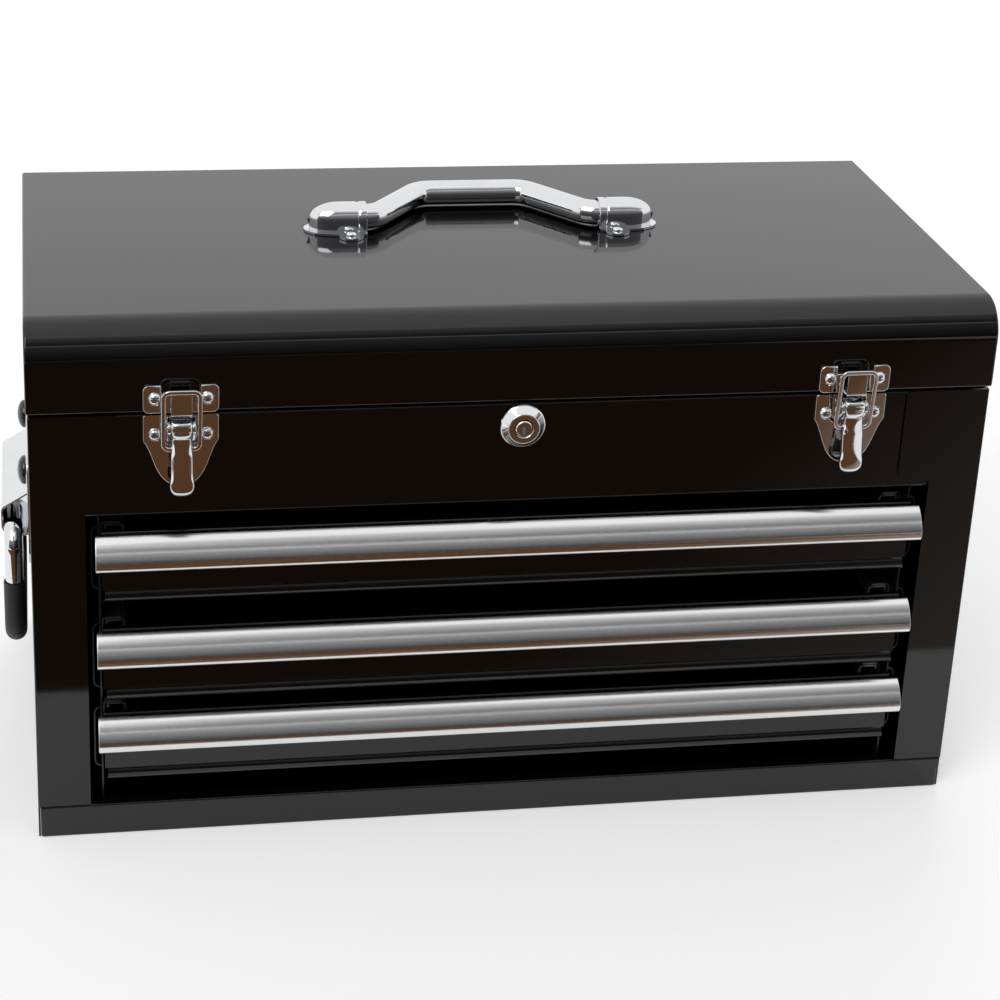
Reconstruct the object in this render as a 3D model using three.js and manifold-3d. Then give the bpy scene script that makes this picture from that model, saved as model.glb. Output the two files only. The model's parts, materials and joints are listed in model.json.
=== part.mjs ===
import * as THREE from "three";
import { mergeVertices } from "three/addons/utils/BufferGeometryUtils.js";
import Module from "manifold-3d";

const wasm = await Module();
wasm.setup();

// All sizes are in millimetres. X runs to the right, Y to the back, Z up.
// The case's front face is at Y = 0 and its foot at Z = 0 while the pieces are made.

// Clearances
const seat = 0.3; // between pieces that touch
const running = 0.4; // between pieces that slide or turn in each other
const overrun = 6; // how far a cut runs past the metal

// Case
const caseWidth = 508;
const caseDepth = 249.5;
const caseHeight = 247.5;
const caseSheet = 1;
const rimFlange = 8;
const skirtHeight = 19;
const skirtLip = 8;
const panFlange = 12;

// Front of the case
const stileWidth = 28;
const tabWidth = 46;
const tabRadius = 8;
const tabRise = 3.7;
const headerHeight = 57.2;
const headerLip = 12;
const floorFlange = 10;

// Drawers: each front's lower and upper edges share out the height between the skirt and the header
const drawerShares = [
  { name: "top", low: 0.712, high: 0.946 },
  { name: "middle", low: 0.37, high: 0.616 },
  { name: "bottom", low: 0.0865, high: 0.321 },
];
const drawerSheet = 0.9;
const drawerFrontGap = 8;
const drawerFrontSetback = 2;
const drawerBoxGap = 20.5;
const drawerBoxBackGap = 18;
const drawerBoxRaise = 3;
const drawerBoxDrop = 8;
const hemHeight = 7;
const hemReach = 2.6;
const hemInset = 1.5;

// Pulls
const pullEndGap = 4.7;
const pullSheet = 1.6;
const pullHeight = 18;
const pullReach = 13;
const pullTopFlat = 7.5;
const pullBackHeight = 8;
const pullLowFlat = 3.5;
const pullCurl = 2.4;

// Slides, two nested channels on each side of a drawer
const slideSheet = 1;
const slideHeight = 25;
const slideSpace = 13;
const slideFlange = 10.4;
const slideFrontSetback = 18;
const slideTail = 2;
const slideDrop = 14;

// Uprights that carry the slides
const frameSetback = 9;
const frameBackGap = 14;

// Lid
const lidSeam = 1.5;
const lidHeight = 46.4;
const lidSheet = 1;
const lidRadius = 20;
const lidOverhang = 0.8;
const lidFlange = 6;

// Rear hinge
const hingeEndGap = 20;
const hingeSheet = 1;
const leafHeight = 18;
const pinRadius = 1.2;
const knuckleRadius = 2.6;
const knuckleCount = 9;
const knuckleGap = 0.6;

// Draw latches
const latchSetIn = 77;
const plateSheet = 1.2;
const plateWidth = 38.4;
const plateCorner = 3;
const strikeHeight = 15.2;
const strikeDrop = 0;
const strikeNotchWidth = 19.8;
const strikeNotchDepth = 4.6;
const hookWidth = 10.8;
const hookRadius = 2.4;
const hookDrop = 0.4;
const hookHeight = 14;
const baseTopGap = 0.3;
const baseStraight = 14.5;
const baseHeight = 40;
const rivetSpacing = 26.6;
const rivetRadius = 3.6;
const rivetHeight = 2;
const strikeRivetRise = 7.9;
const baseRivetDrop = 10.8;
const pivotDrop = 6;
const pivotReach = 4.4;
const latchPinRadius = 1.3;
const latchPinLength = 15.4;
const earSheet = 1.6;
const earGap = 11.2;
const earRadius = 3.5;
const leverWidth = 10.2;
const leverWall = 1.4;
const leverKnuckle = 3.6;
const leverChannel = 15;
const leverLength = 36.2;
const leverBulb = 12.6;
const leverTongue = 1.7;
const leverCurl = 2.9;
const loopWidth = 20.8;
const loopBand = 2.3;
const loopSheet = 2.2;
const loopDrop = 11.5;
const loopBarRadius = 1.2;
const loopRise = 33.2;
const loopCorner = 4;
const loopHookGap = 0.5;

// Lock
const lockDrop = 13;
const bezelRadius = 12;
const bezelFace = 8.6;
const bezelReach = 5;
const barrelRadius = 9.4;
const barrelLength = 14;
const plugRadius = 4.4;
const keywayWidth = 1.5;
const keywayHeight = 6.2;
const keywayDepth = 5;
const nutRadius = 13;
const nutSheet = 3;
const camSheet = 2;
const camWidth = 7;
const camReach = 14;
const camNeckRadius = 2.6;
const keeperSheet = 1.2;
const keeperSide = 10.7;
const keeperBack = 25;
const keeperWindow = 5;
const keeperBar = 6;
const keeperFlange = 14;
const keeperRise = 16;
const keeperFront = 11.4;

// Top handle
const handleTubeRadius = 7;
const handleSetback = 13;
const handleRise = 7.6;
const handleReach = 39.5;
const handleLegLead = 5;
const handleLegRun = 30.5;
const handleEndDepth = 18;
const handleBend = 14;
const capMouthSpan = 132;
const capLength = 34.6;
const capSheet = 1.3;
const capLip = 3.2;
const capRivetSetIn = 9.4;
const capRivetSpread = 26;
const capEarRadius = 7;
const smallRivetRadius = 3;
const smallRivetHeight = 1.8;
const shankRadius = 2;
const shankTail = 1.6;

// Side handles
const sideHandleSetback = 115;
const sideHandleDrop = 95;
const bailRadius = 5;
const bailReach = 9.5;
const bailWidth = 105;
const bailDrop = 63;
const bailBend = 11;
const bailEnd = 20;
const gripWall = 0.6;
const gripStart = 28.5;
const bracketSheet = 1.3;
const bracketWidth = 96;
const bracketAbove = 39.5;
const bracketBelow = 24.5;
const bracketCorner = 9.5;
const hoodLength = 86;
const hoodSheet = 1.2;
const hoodTop = 19;
const hoodShoulder = 8;
const hoodCorner = 4;
const boltSpread = 75;
const boltRise = 30.5;
const boltRadius = 8;
const boltHeight = 4.6;
const boltShank = 3;
const boltNutRadius = 6;
const boltNutHeight = 4;

// Facets on round shapes
const tubeSides = 16;
const bailSides = 12;
const arcSteps = 5;
const turnSides = 24;
const domeSteps = 3;
const nutSides = 6;

// Widths and places that several pieces share
const openingWidth = caseWidth - 2 * stileWidth;
const tabSpacing = caseWidth - 2 * tabWidth;
const headerBottom = caseHeight - headerHeight;
const openingTop = headerBottom + tabRise;
const drawerSpace = headerBottom - skirtHeight;
const drawers = drawerShares.map(({ name, low, high }) => {
  return { name, bottom: skirtHeight + drawerSpace * low, top: skirtHeight + drawerSpace * high };
});
const drawerFrontWidth = openingWidth - 2 * drawerFrontGap;
const drawerBoxWidth = openingWidth - 2 * drawerBoxGap;
const drawerBoxBack = caseDepth - drawerBoxBackGap;
const pullLength = openingWidth - 2 * pullEndGap;
const slideLength = drawerBoxBack + slideTail - slideFrontSetback;
const frameLength = caseDepth - frameBackGap - frameSetback;
const hingeLength = caseWidth - 2 * hingeEndGap;
const latchSpacing = caseWidth - 2 * latchSetIn;
const handleLegStart = capMouthSpan - 2 * handleLegLead;
const handleLegEnd = handleLegStart - 2 * handleLegRun;
const handleEndSpan = capMouthSpan + 2 * handleEndDepth;
const capSpan = capMouthSpan + 2 * capLength;
const capRivetSpan = capMouthSpan + 2 * capRivetSetIn;
const sideHandleHeight = caseHeight - sideHandleDrop;
const lidBottom = caseHeight + lidSeam;
const lidTop = lidBottom + lidHeight;
const headerFace = caseSheet + seat;
const lidFront = -lidOverhang;
const frameFace = drawerBoxWidth / 2 + slideSpace;
const hingeY = caseDepth + seat + knuckleRadius;
const hingeZ = caseHeight + lidSeam / 2;
const handleY = caseDepth / 2 + handleSetback;
const handleZ = lidTop + handleRise;
const lockZ = caseHeight - lockDrop;
const lockFront = headerFace - seat;
const camBack = lockFront + barrelLength + seat;
const baseFront = headerFace - seat - plateSheet;
const strikeFront = lidFront - seat - plateSheet;
const pivotY = baseFront - pivotReach;
const pivotZ = caseHeight - pivotDrop;

// Materials
function material(color, roughness, metalness) {
  return new THREE.MeshStandardMaterial({ color, roughness, metalness });
}
const blackPaint = material(0x121110, 0.12, 0.1);
const innerPaint = material(0x1a1a1a, 0.35, 0.1);
const chrome = material(0xd8dadc, 0.08, 1);
const pullMetal = material(0xd9d9d8, 0.25, 1);
const zinc = material(0xb4b09c, 0.4, 1);
const vinyl = material(0x1c1d1f, 0.55, 0);
const blackBolt = material(0x1e1d1c, 0.25, 0.2);

// Solids from geometry
function solidOf(geometry) {
  const bare = geometry.clone();
  bare.deleteAttribute("normal");
  bare.deleteAttribute("uv");
  const merged = mergeVertices(bare);
  const vertProperties = merged.attributes.position.array;
  const triVerts = new Uint32Array(merged.index.array);
  return new wasm.Manifold(new wasm.Mesh({ numProp: 3, vertProperties, triVerts }));
}

function join(first, ...others) {
  return others.reduce((sum, other) => sum.add(other), first);
}

function cut(first, ...others) {
  return others.reduce((rest, other) => rest.subtract(other), first);
}

function meshOf(name, solid, look) {
  const { vertProperties, triVerts } = solid.getMesh();
  const geometry = new THREE.BufferGeometry();
  geometry.setAttribute("position", new THREE.BufferAttribute(vertProperties, 3));
  geometry.setIndex(new THREE.BufferAttribute(triVerts, 1));
  const mesh = new THREE.Mesh(geometry, look);
  mesh.name = name;
  return mesh;
}

// A block between two corners
function block([x0, x1], [y0, y1], [z0, z1]) {
  const geometry = new THREE.BoxGeometry(x1 - x0, y1 - y0, z1 - z0);
  geometry.translate((x0 + x1) / 2, (y0 + y1) / 2, (z0 + z1) / 2);
  return solidOf(geometry);
}

// A hole along X through everything between two ears or walls
function crossBore(y, z, radius, reach) {
  return prism("x", disc(y, z, radius + seat, bailSides), -reach - overrun, reach + overrun);
}

// A flat shape carried along an axis: its own axes are Y and Z, X and Z, or X and Y
const right = new THREE.Vector3(1, 0, 0);
const back = new THREE.Vector3(0, 1, 0);
const up = new THREE.Vector3(0, 0, 1);
const bases = {
  x: new THREE.Matrix4().makeBasis(back, up, right),
  y: new THREE.Matrix4().makeBasis(right, up, back.clone().negate()),
  z: new THREE.Matrix4().makeBasis(right, back, up),
};

function prism(axis, shape, from, to) {
  const geometry = new THREE.ExtrudeGeometry(shape, {
    depth: to - from,
    bevelEnabled: false,
    curveSegments: arcSteps,
  });
  geometry.applyMatrix4(bases[axis]);
  if (axis === "x") geometry.translate(from, 0, 0);
  if (axis === "y") geometry.translate(0, to, 0);
  if (axis === "z") geometry.translate(0, 0, from);
  return solidOf(geometry);
}

function polygon(points) {
  return new THREE.Shape(points.map(([a, b]) => new THREE.Vector2(a, b)));
}

function disc(a, b, radius, sides = turnSides) {
  const points = [];
  for (let i = 0; i < sides; i += 1) {
    const angle = (2 * Math.PI * i) / sides;
    points.push([a + radius * Math.cos(angle), b + radius * Math.sin(angle)]);
  }
  return polygon(points);
}

// Points of an arc, both ends included
function arc(a, b, radiusA, radiusB, fromDeg, toDeg, steps = arcSteps) {
  const points = [];
  for (let i = 0; i <= steps; i += 1) {
    const angle = THREE.MathUtils.degToRad(fromDeg + ((toDeg - fromDeg) * i) / steps);
    points.push([a + radiusA * Math.cos(angle), b + radiusB * Math.sin(angle)]);
  }
  return points;
}

// A rectangle with its corners rounded by the radii at low left, low right, high right and high left
function roundedRectangle(a0, a1, b0, b1, radii) {
  const [lowLeft, lowRight, highRight, highLeft] = radii;
  const shape = new THREE.Shape();
  shape.moveTo(a0 + lowLeft, b0);
  shape.lineTo(a1 - lowRight, b0);
  if (lowRight) shape.absarc(a1 - lowRight, b0 + lowRight, lowRight, -Math.PI / 2, 0);
  shape.lineTo(a1, b1 - highRight);
  if (highRight) shape.absarc(a1 - highRight, b1 - highRight, highRight, 0, Math.PI / 2);
  shape.lineTo(a0 + highLeft, b1);
  if (highLeft) shape.absarc(a0 + highLeft, b1 - highLeft, highLeft, Math.PI / 2, Math.PI);
  shape.lineTo(a0, b0 + lowLeft);
  if (lowLeft) shape.absarc(a0 + lowLeft, b0 + lowLeft, lowLeft, Math.PI, 1.5 * Math.PI);
  return shape;
}

// Sheet bent along a line of points: the outline lies half its thickness to each side
function ribbon(points, thickness) {
  const line = points.map(([a, b]) => new THREE.Vector2(a, b));
  const sides = [[], []];
  line.forEach((point, i) => {
    const before = i > 0 ? point.clone().sub(line[i - 1]).normalize() : null;
    const after = i < line.length - 1 ? line[i + 1].clone().sub(point).normalize() : null;
    const along = (before || after).clone().add(after || before).normalize();
    const square = new THREE.Vector2(-along.y, along.x);
    const spread = thickness / 2 / Math.max(along.dot(before || after), 0.5);
    sides[0].push(point.clone().addScaledVector(square, spread));
    sides[1].unshift(point.clone().addScaledVector(square, -spread));
  });
  return new THREE.Shape([...sides[0], ...sides[1]]);
}

// A turned solid about an axis, from pairs of radius and distance along it
function turned(axis, profile, centre, sides = turnSides) {
  const points = profile.map(([radius, along]) => new THREE.Vector2(radius, along));
  const geometry = new THREE.LatheGeometry(points, sides);
  if (axis === "x") geometry.rotateZ(-Math.PI / 2);
  if (axis === "z") geometry.rotateX(Math.PI / 2);
  geometry.translate(...centre);
  const solid = solidOf(geometry);
  return solid.volume() < 0 ? solidOf(flipped(geometry)) : solid;
}

function flipped(geometry) {
  const index = geometry.index.array;
  for (let i = 0; i < index.length; i += 3) [index[i], index[i + 1]] = [index[i + 1], index[i]];
  return geometry;
}

// Radius and distance along the axis of a dome on a flat base
function dome(radius, height, base) {
  return arc(0, base, radius, height, 0, 90, domeSteps);
}

// Stations along a bent bar: its two ends, and those of the arc round each corner
function bentLine(corners, bend) {
  const last = corners.length - 1;
  const run = (i) => corners[i + 1].clone().sub(corners[i]).normalize();
  const stations = [{ at: corners[0], along: run(0) }];
  for (let i = 1; i < last; i += 1) {
    const into = run(i - 1);
    const turn = into.angleTo(run(i));
    const axle = into.clone().cross(run(i)).normalize();
    const start = corners[i].clone().addScaledVector(into, -bend * Math.tan(turn / 2));
    const centre = start.clone().addScaledVector(axle.clone().cross(into), bend);
    for (let k = 0; k <= arcSteps; k += 1) {
      const angle = (turn * k) / arcSteps;
      const at = start.clone().sub(centre).applyAxisAngle(axle, angle).add(centre);
      stations.push({ at, along: into.clone().applyAxisAngle(axle, angle) });
    }
  }
  stations.push({ at: corners[last], along: run(last - 1) });
  return stations;
}

// A round bar through the stations of a line that lies in the plane square to the given direction
function bentBar(stations, square, radius, sides) {
  const places = [];
  const faces = [];
  stations.forEach(({ at, along }, ring) => {
    const across = along.clone().cross(square);
    for (let i = 0; i < sides; i += 1) {
      const angle = (2 * Math.PI * i) / sides;
      const point = at.clone().addScaledVector(across, radius * Math.cos(angle));
      places.push(...point.addScaledVector(square, radius * Math.sin(angle)));
      const next = (i + 1) % sides;
      if (ring === 0) continue;
      const [a, b] = [(ring - 1) * sides + i, (ring - 1) * sides + next];
      faces.push(a, b, b + sides, a, b + sides, a + sides);
    }
  });
  const lastRing = (stations.length - 1) * sides;
  for (let i = 1; i < sides - 1; i += 1) {
    faces.push(0, i + 1, i, lastRing, lastRing + i, lastRing + i + 1);
  }
  const geometry = new THREE.BufferGeometry();
  geometry.setAttribute("position", new THREE.Float32BufferAttribute(places, 3));
  geometry.setIndex(faces);
  const bar = solidOf(geometry);
  return bar.volume() < 0 ? solidOf(flipped(geometry)) : bar;
}

// Case wrap: back, sides, front stiles and the tabs that overlap the header
function caseShell() {
  const half = caseWidth / 2;
  const outer = block([-half, half], [0, caseDepth], [0, caseHeight]);
  const inner = half - caseSheet;
  const underRim = caseHeight - caseSheet;
  const hollow = block([-inner, inner], [caseSheet, caseDepth - caseSheet], [-overrun, underRim]);
  const mouthHalf = inner - rimFlange;
  const mouthBack = caseDepth - caseSheet - rimFlange;
  const mouth = block(
    [-mouthHalf, mouthHalf],
    [caseSheet, mouthBack],
    [underRim - overrun, caseHeight + overrun],
  );
  const frontMouth = block(
    [-inner, inner],
    [caseSheet, headerLip],
    [underRim - overrun, caseHeight + overrun],
  );
  const tabHalf = tabSpacing / 2;
  const openHalf = openingWidth / 2;
  const sill = skirtHeight + seat;
  const top = caseHeight + overrun;
  const corner = openingTop + tabRadius;
  const leftTab = arc(-tabHalf - tabRadius, corner, tabRadius, tabRadius, -90, 0);
  const rightTab = arc(tabHalf + tabRadius, corner, tabRadius, tabRadius, 180, 270);
  const opening = polygon([
    [-openHalf, sill],
    [openHalf, sill],
    [openHalf, openingTop],
    ...rightTab.reverse(),
    [tabHalf, top],
    [-tabHalf, top],
    ...leftTab.reverse(),
    [-openHalf, openingTop],
  ]);
  const frontCut = prism("y", opening, -overrun, caseSheet + seat);
  const skirtCut = block([-inner, inner], [-overrun, caseSheet + seat], [-overrun, sill]);
  const boltHoles = [];
  for (const side of [-1, 1]) {
    for (const end of [-1, 1]) {
      const boltY = sideHandleSetback + (end * boltSpread) / 2;
      const shape = disc(boltY, sideHandleHeight + boltRise, boltShank + seat);
      const wall = side * half;
      boltHoles.push(prism("x", shape, wall - overrun, wall + overrun));
    }
  }
  return cut(outer, hollow, mouth, frontMouth, frontCut, skirtCut, ...boltHoles);
}

// Header between the tabs, with its lower lip and upper flange turned back
function headerPanel() {
  const half = caseWidth / 2 - caseSheet - seat;
  const rim = half - rimFlange - seat;
  const rearFace = headerFace + caseSheet;
  const face = block(
    [-half, half],
    [headerFace, rearFace],
    [headerBottom, caseHeight - caseSheet - seat],
  );
  const faceTop = block([-rim, rim], [headerFace, rearFace], [caseHeight - rimFlange, caseHeight]);
  const lip = block(
    [-half, half],
    [headerFace, headerLip],
    [headerBottom, headerBottom + caseSheet],
  );
  const flange = block(
    [-rim, rim],
    [headerFace, headerFace + rimFlange],
    [caseHeight - caseSheet, caseHeight],
  );
  const hole = prism("y", disc(0, lockZ, barrelRadius + seat), headerFace - overrun, rearFace + overrun);
  return cut(join(face, faceTop, lip, flange), hole);
}

// A tray: floor and walls of one thickness, open above
function tray(half, y0, y1, z0, height, thickness) {
  const outer = block([-half, half], [y0, y1], [z0, z0 + height]);
  const wall = half - thickness;
  const inside = block(
    [-wall, wall],
    [y0 + thickness, y1 - thickness],
    [z0 + thickness, z0 + height + overrun],
  );
  return cut(outer, inside);
}

function compartmentFloor() {
  const half = caseWidth / 2 - caseSheet - seat;
  const front = headerFace + caseSheet + seat;
  const low = headerBottom + caseSheet + seat;
  return tray(half, front, caseDepth - caseSheet - seat, low, floorFlange, caseSheet);
}

// Bottom pan, whose front wall is the skirt under the drawers
function bottomPan() {
  const half = caseWidth / 2 - caseSheet - seat;
  const pan = tray(half, 0, caseDepth - caseSheet - seat, 0, panFlange, caseSheet);
  const skirt = block([-half, half], [0, caseSheet], [0, skirtHeight]);
  const lip = block([-half, half], [0, skirtLip], [skirtHeight - caseSheet, skirtHeight]);
  return join(pan, skirt, lip);
}

// Folded upright, for one side, that the slides are fixed to
function slideFrame(side) {
  const web = frameFace + caseSheet / 2;
  const wall = caseWidth / 2 - caseSheet - seat;
  const front = frameSetback + caseSheet / 2;
  const rear = frameSetback + frameLength - caseSheet / 2;
  const plan = ribbon(
    [
      [side * wall, front],
      [side * web, front],
      [side * web, rear],
      [side * wall, rear],
    ],
    caseSheet,
  );
  return prism("z", plan, panFlange + seat, headerBottom - seat);
}

// The two nested channels of a slide, for one side, at the height of their middle
function channel(side, web, reach, half, z, y0) {
  const middle = half - slideSheet / 2;
  const section = ribbon(
    [
      [side * reach, z + middle],
      [side * web, z + middle],
      [side * web, z - middle],
      [side * reach, z - middle],
    ],
    slideSheet,
  );
  return prism("y", section, y0, y0 + slideLength);
}

function caseSlide(side, z) {
  const web = frameFace - seat - slideSheet / 2;
  return channel(side, web, web + slideSheet / 2 - slideFlange, slideHeight / 2, z, slideFrontSetback);
}

function drawerSlide(side, z) {
  const web = drawerBoxWidth / 2 + seat + slideSheet / 2;
  const half = slideHeight / 2 - slideSheet - running;
  return channel(side, web, web - slideSheet / 2 + slideFlange, half, z, slideFrontSetback);
}

// Drawer: box, front and the rolled hem along the foot of the front
function drawerBody(drawer) {
  const frontBack = drawerFrontSetback + drawerSheet;
  const half = drawerFrontWidth / 2;
  const low = drawer.bottom + drawerBoxRaise;
  const height = drawer.top - drawerBoxDrop - low;
  const boxFront = frontBack - drawerSheet;
  const box = tray(drawerBoxWidth / 2, boxFront, drawerBoxBack, low, height, drawerSheet);
  const front = block([-half, half], [drawerFrontSetback, frontBack], [drawer.bottom, drawer.top]);
  const hemMiddle = drawer.bottom + hemHeight / 2;
  const roll = arc(drawerFrontSetback, hemMiddle, hemReach, hemHeight / 2, 90, 270, 2 * arcSteps);
  const hemShape = polygon([
    ...roll,
    [frontBack, drawer.bottom],
    [frontBack, drawer.bottom + hemHeight],
  ]);
  const hem = prism("x", hemShape, hemInset - half, half - hemInset);
  return join(front, box, hem);
}

// Pull: a bent section that is open below, for the fingers
function drawerPull(drawer) {
  const line = pullSheet / 2;
  const rear = drawerFrontSetback - seat - line;
  const reach = rear + line - pullReach + line;
  const top = drawer.top - line;
  const low = drawer.top - pullHeight + line;
  const brow = rear - pullTopFlat;
  const cheek = low + pullLowFlat;
  const section = ribbon(
    [
      [rear, top - pullBackHeight],
      [rear, top],
      ...arc(brow, cheek, brow - reach, top - cheek, 90, 180, 2 * arcSteps),
      [reach, low + pullCurl],
      [reach + pullCurl, low],
    ],
    pullSheet,
  );
  return prism("x", section, -pullLength / 2, pullLength / 2);
}

// Lid: folded top, front with a large roll, sides and back, with a flange turned in at its foot
function lidShell() {
  const half = caseWidth / 2 + lidOverhang;
  const outline = (inset, low) =>
    polygon([
      [lidFront + inset, low],
      [caseDepth - inset, low],
      [caseDepth - inset, lidTop - inset],
      ...arc(lidFront + lidRadius, lidTop - lidRadius, lidRadius - inset, lidRadius - inset, 90, 180),
    ]);
  const outer = prism("x", outline(0, lidBottom), -half, half);
  const inner = half - lidSheet;
  const hollow = prism("x", outline(lidSheet, lidBottom + lidSheet), -inner, inner);
  const mouthHalf = inner - lidFlange;
  const mouthFront = lidFront + lidSheet + lidFlange;
  const mouthBack = caseDepth - lidSheet - lidFlange;
  const mouth = block(
    [-mouthHalf, mouthHalf],
    [mouthFront, mouthBack],
    [lidBottom - overrun, lidBottom + lidSheet + overrun],
  );
  const holes = capRivets().map(([x, y]) => {
    return prism("z", disc(x, y, shankRadius + seat, tubeSides), lidTop - overrun, lidTop + overrun);
  });
  return cut(outer, hollow, mouth, ...holes);
}

// Hinge leaf with its own share of the knuckles: the case's leaf hangs down, the lid's stands up
function hingeLeaf(way) {
  const half = hingeLength / 2;
  const leafFace = caseDepth + seat;
  const pitch = hingeLength / knuckleCount;
  const relief = hingeZ + way * (knuckleRadius + running);
  const far = relief + way * leafHeight;
  const plate = block(
    [-half, half],
    [leafFace, leafFace + hingeSheet],
    [Math.min(relief, far), Math.max(relief, far)],
  );
  const parts = [plate];
  const first = way < 0 ? 0 : 1;
  for (let i = first; i < knuckleCount; i += 2) {
    const x0 = -half + i * pitch + knuckleGap / 2;
    const x1 = -half + (i + 1) * pitch - knuckleGap / 2;
    parts.push(prism("x", disc(hingeY, hingeZ, knuckleRadius, tubeSides), x0, x1));
    const low = Math.min(relief + way, hingeZ);
    const high = Math.max(relief + way, hingeZ);
    parts.push(block([x0, x1], [leafFace, leafFace + hingeSheet], [low, high]));
  }
  const bore = crossBore(hingeY, hingeZ, pinRadius, half);
  return cut(join(...parts), bore);
}

function hingePin() {
  return prism("x", disc(hingeY, hingeZ, pinRadius, bailSides), -hingeLength / 2, hingeLength / 2);
}

// Domed head that stands on a plate facing the front
function frontRivet(x, z, face) {
  const radius = rivetRadius;
  const profile = [[0, -plateSheet / 2], [radius, -plateSheet / 2], ...dome(radius, rivetHeight, 0)];
  const head = turned("z", profile, [0, 0, 0], tubeSides);
  return head.rotate([90, 0, 0]).translate([x, face, z]);
}

// Strike on the lid: two ears with rivets, and a hook bent forward and up from its foot
function latchStrike() {
  const half = plateWidth / 2;
  const low = lidBottom - strikeDrop;
  const high = low + strikeHeight;
  const rear = strikeFront + plateSheet;
  const corners = [plateCorner, plateCorner, plateCorner, plateCorner];
  const plate = prism("y", roundedRectangle(-half, half, low, high, corners), strikeFront, rear);
  const notchHalf = strikeNotchWidth / 2;
  const notch = block(
    [-notchHalf, notchHalf],
    [strikeFront - overrun, rear + overrun],
    [high - strikeNotchDepth, high + overrun],
  );
  const line = strikeFront + plateSheet / 2;
  const hookLow = lidBottom - hookDrop - plateSheet / 2 + hookRadius;
  const hookTop = hookLow - hookRadius - plateSheet / 2 + hookHeight;
  const bend = arc(line - hookRadius, hookLow, hookRadius, hookRadius, 0, -180, 2 * arcSteps);
  const root = [line, high - strikeNotchDepth];
  const section = ribbon([root, ...bend, [line - 2 * hookRadius, hookTop]], plateSheet);
  const hook = prism("x", section, -hookWidth / 2, hookWidth / 2);
  const rivetZ = lidBottom - strikeDrop + strikeRivetRise;
  const rivets = [-1, 1].map((side) => frontRivet((side * rivetSpacing) / 2, rivetZ, strikeFront));
  return join(cut(plate, notch), hook, ...rivets);
}

// Base on the header: shield-shaped plate, rivets and two ears for the pivot pin
function latchBase() {
  const half = plateWidth / 2;
  const high = caseHeight - baseTopGap;
  const waist = high - baseStraight;
  const low = high - baseHeight;
  const outline = new THREE.Shape();
  outline.moveTo(half, waist);
  outline.lineTo(half, high - plateCorner);
  outline.absarc(half - plateCorner, high - plateCorner, plateCorner, 0, Math.PI / 2);
  outline.lineTo(plateCorner - half, high);
  outline.absarc(plateCorner - half, high - plateCorner, plateCorner, Math.PI / 2, Math.PI);
  outline.lineTo(-half, waist);
  const sideShare = 0.7;
  const footShare = 0.72;
  const riseShare = 0.28;
  const dip = waist - (waist - low) * riseShare;
  outline.bezierCurveTo(-half * sideShare, dip, -half * footShare, low, 0, low);
  outline.bezierCurveTo(half * footShare, low, half * sideShare, dip, half, waist);
  const rear = baseFront + plateSheet;
  const plate = prism("y", outline, baseFront, rear);
  const rivetZ = high - baseRivetDrop;
  const rivets = [-1, 1].map((side) => frontRivet((side * rivetSpacing) / 2, rivetZ, baseFront));
  const ears = [-1, 1].map((side) => {
    const inner = (side * earGap) / 2;
    const outer = inner + side * earSheet;
    const x0 = Math.min(inner, outer);
    const x1 = Math.max(inner, outer);
    const eye = prism("x", disc(pivotY, pivotZ, earRadius), x0, x1);
    const foot = block(
      [x0, x1],
      [pivotY, baseFront + plateSheet / 2],
      [pivotZ - earRadius, pivotZ + earRadius],
    );
    return join(eye, foot);
  });
  const bore = crossBore(pivotY, pivotZ, latchPinRadius, half);
  return cut(join(plate, ...rivets, ...ears), bore);
}

function latchPin() {
  const half = latchPinLength / 2;
  return prism("x", disc(pivotY, pivotZ, latchPinRadius, bailSides), -half, half);
}

// Lever: a channel round the pin and the loop's bar, then a waisted tongue with a round, lifted tip
function latchLever() {
  const faceY = pivotY - leverKnuckle;
  const channelLow = pivotZ - leverChannel;
  const tip = pivotZ - leverLength;
  const tongueBack = faceY + leverTongue;
  const curlStart = (channelLow + tip) / 2;
  const side = new THREE.Shape();
  side.moveTo(faceY, pivotZ);
  side.lineTo(faceY, curlStart);
  side.quadraticCurveTo(faceY, tip, faceY - leverCurl, tip);
  side.lineTo(faceY - leverCurl + leverTongue, tip);
  side.quadraticCurveTo(tongueBack, tip, tongueBack, curlStart);
  side.lineTo(tongueBack, channelLow);
  side.lineTo(pivotY + leverKnuckle / 2, channelLow);
  side.lineTo(pivotY + leverKnuckle, pivotZ);
  side.absarc(pivotY, pivotZ, leverKnuckle, 0, Math.PI);
  const body = prism("x", side, -leverBulb / 2, leverBulb / 2);
  const half = leverWidth / 2;
  const bulb = leverBulb / 2;
  const bulbZ = tip + bulb;
  const neck = bulbZ + bulb;
  const outline = new THREE.Shape();
  outline.moveTo(half, pivotZ + overrun);
  outline.lineTo(-half, pivotZ + overrun);
  outline.lineTo(-half, neck);
  outline.quadraticCurveTo(-half, bulbZ + half / 2, -bulb, bulbZ);
  outline.absarc(0, bulbZ, bulb, Math.PI, 2 * Math.PI);
  outline.quadraticCurveTo(half, bulbZ + half / 2, half, neck);
  const front = prism("y", outline, faceY - leverCurl - overrun, pivotY + overrun);
  const insideHalf = half - leverWall;
  const inside = block(
    [-insideHalf, insideHalf],
    [faceY + leverWall, pivotY + overrun],
    [channelLow - overrun, pivotZ + overrun],
  );
  const keep = block(
    [-half, half],
    [faceY - leverCurl - overrun, tongueBack],
    [tip - overrun, channelLow],
  );
  const pinBore = crossBore(pivotY, pivotZ, latchPinRadius, bulb);
  const barBore = crossBore(pivotY, pivotZ - loopDrop, loopBarRadius, bulb);
  return cut(body.intersect(front), cut(inside, keep), pinBore, barBore);
}

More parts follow.
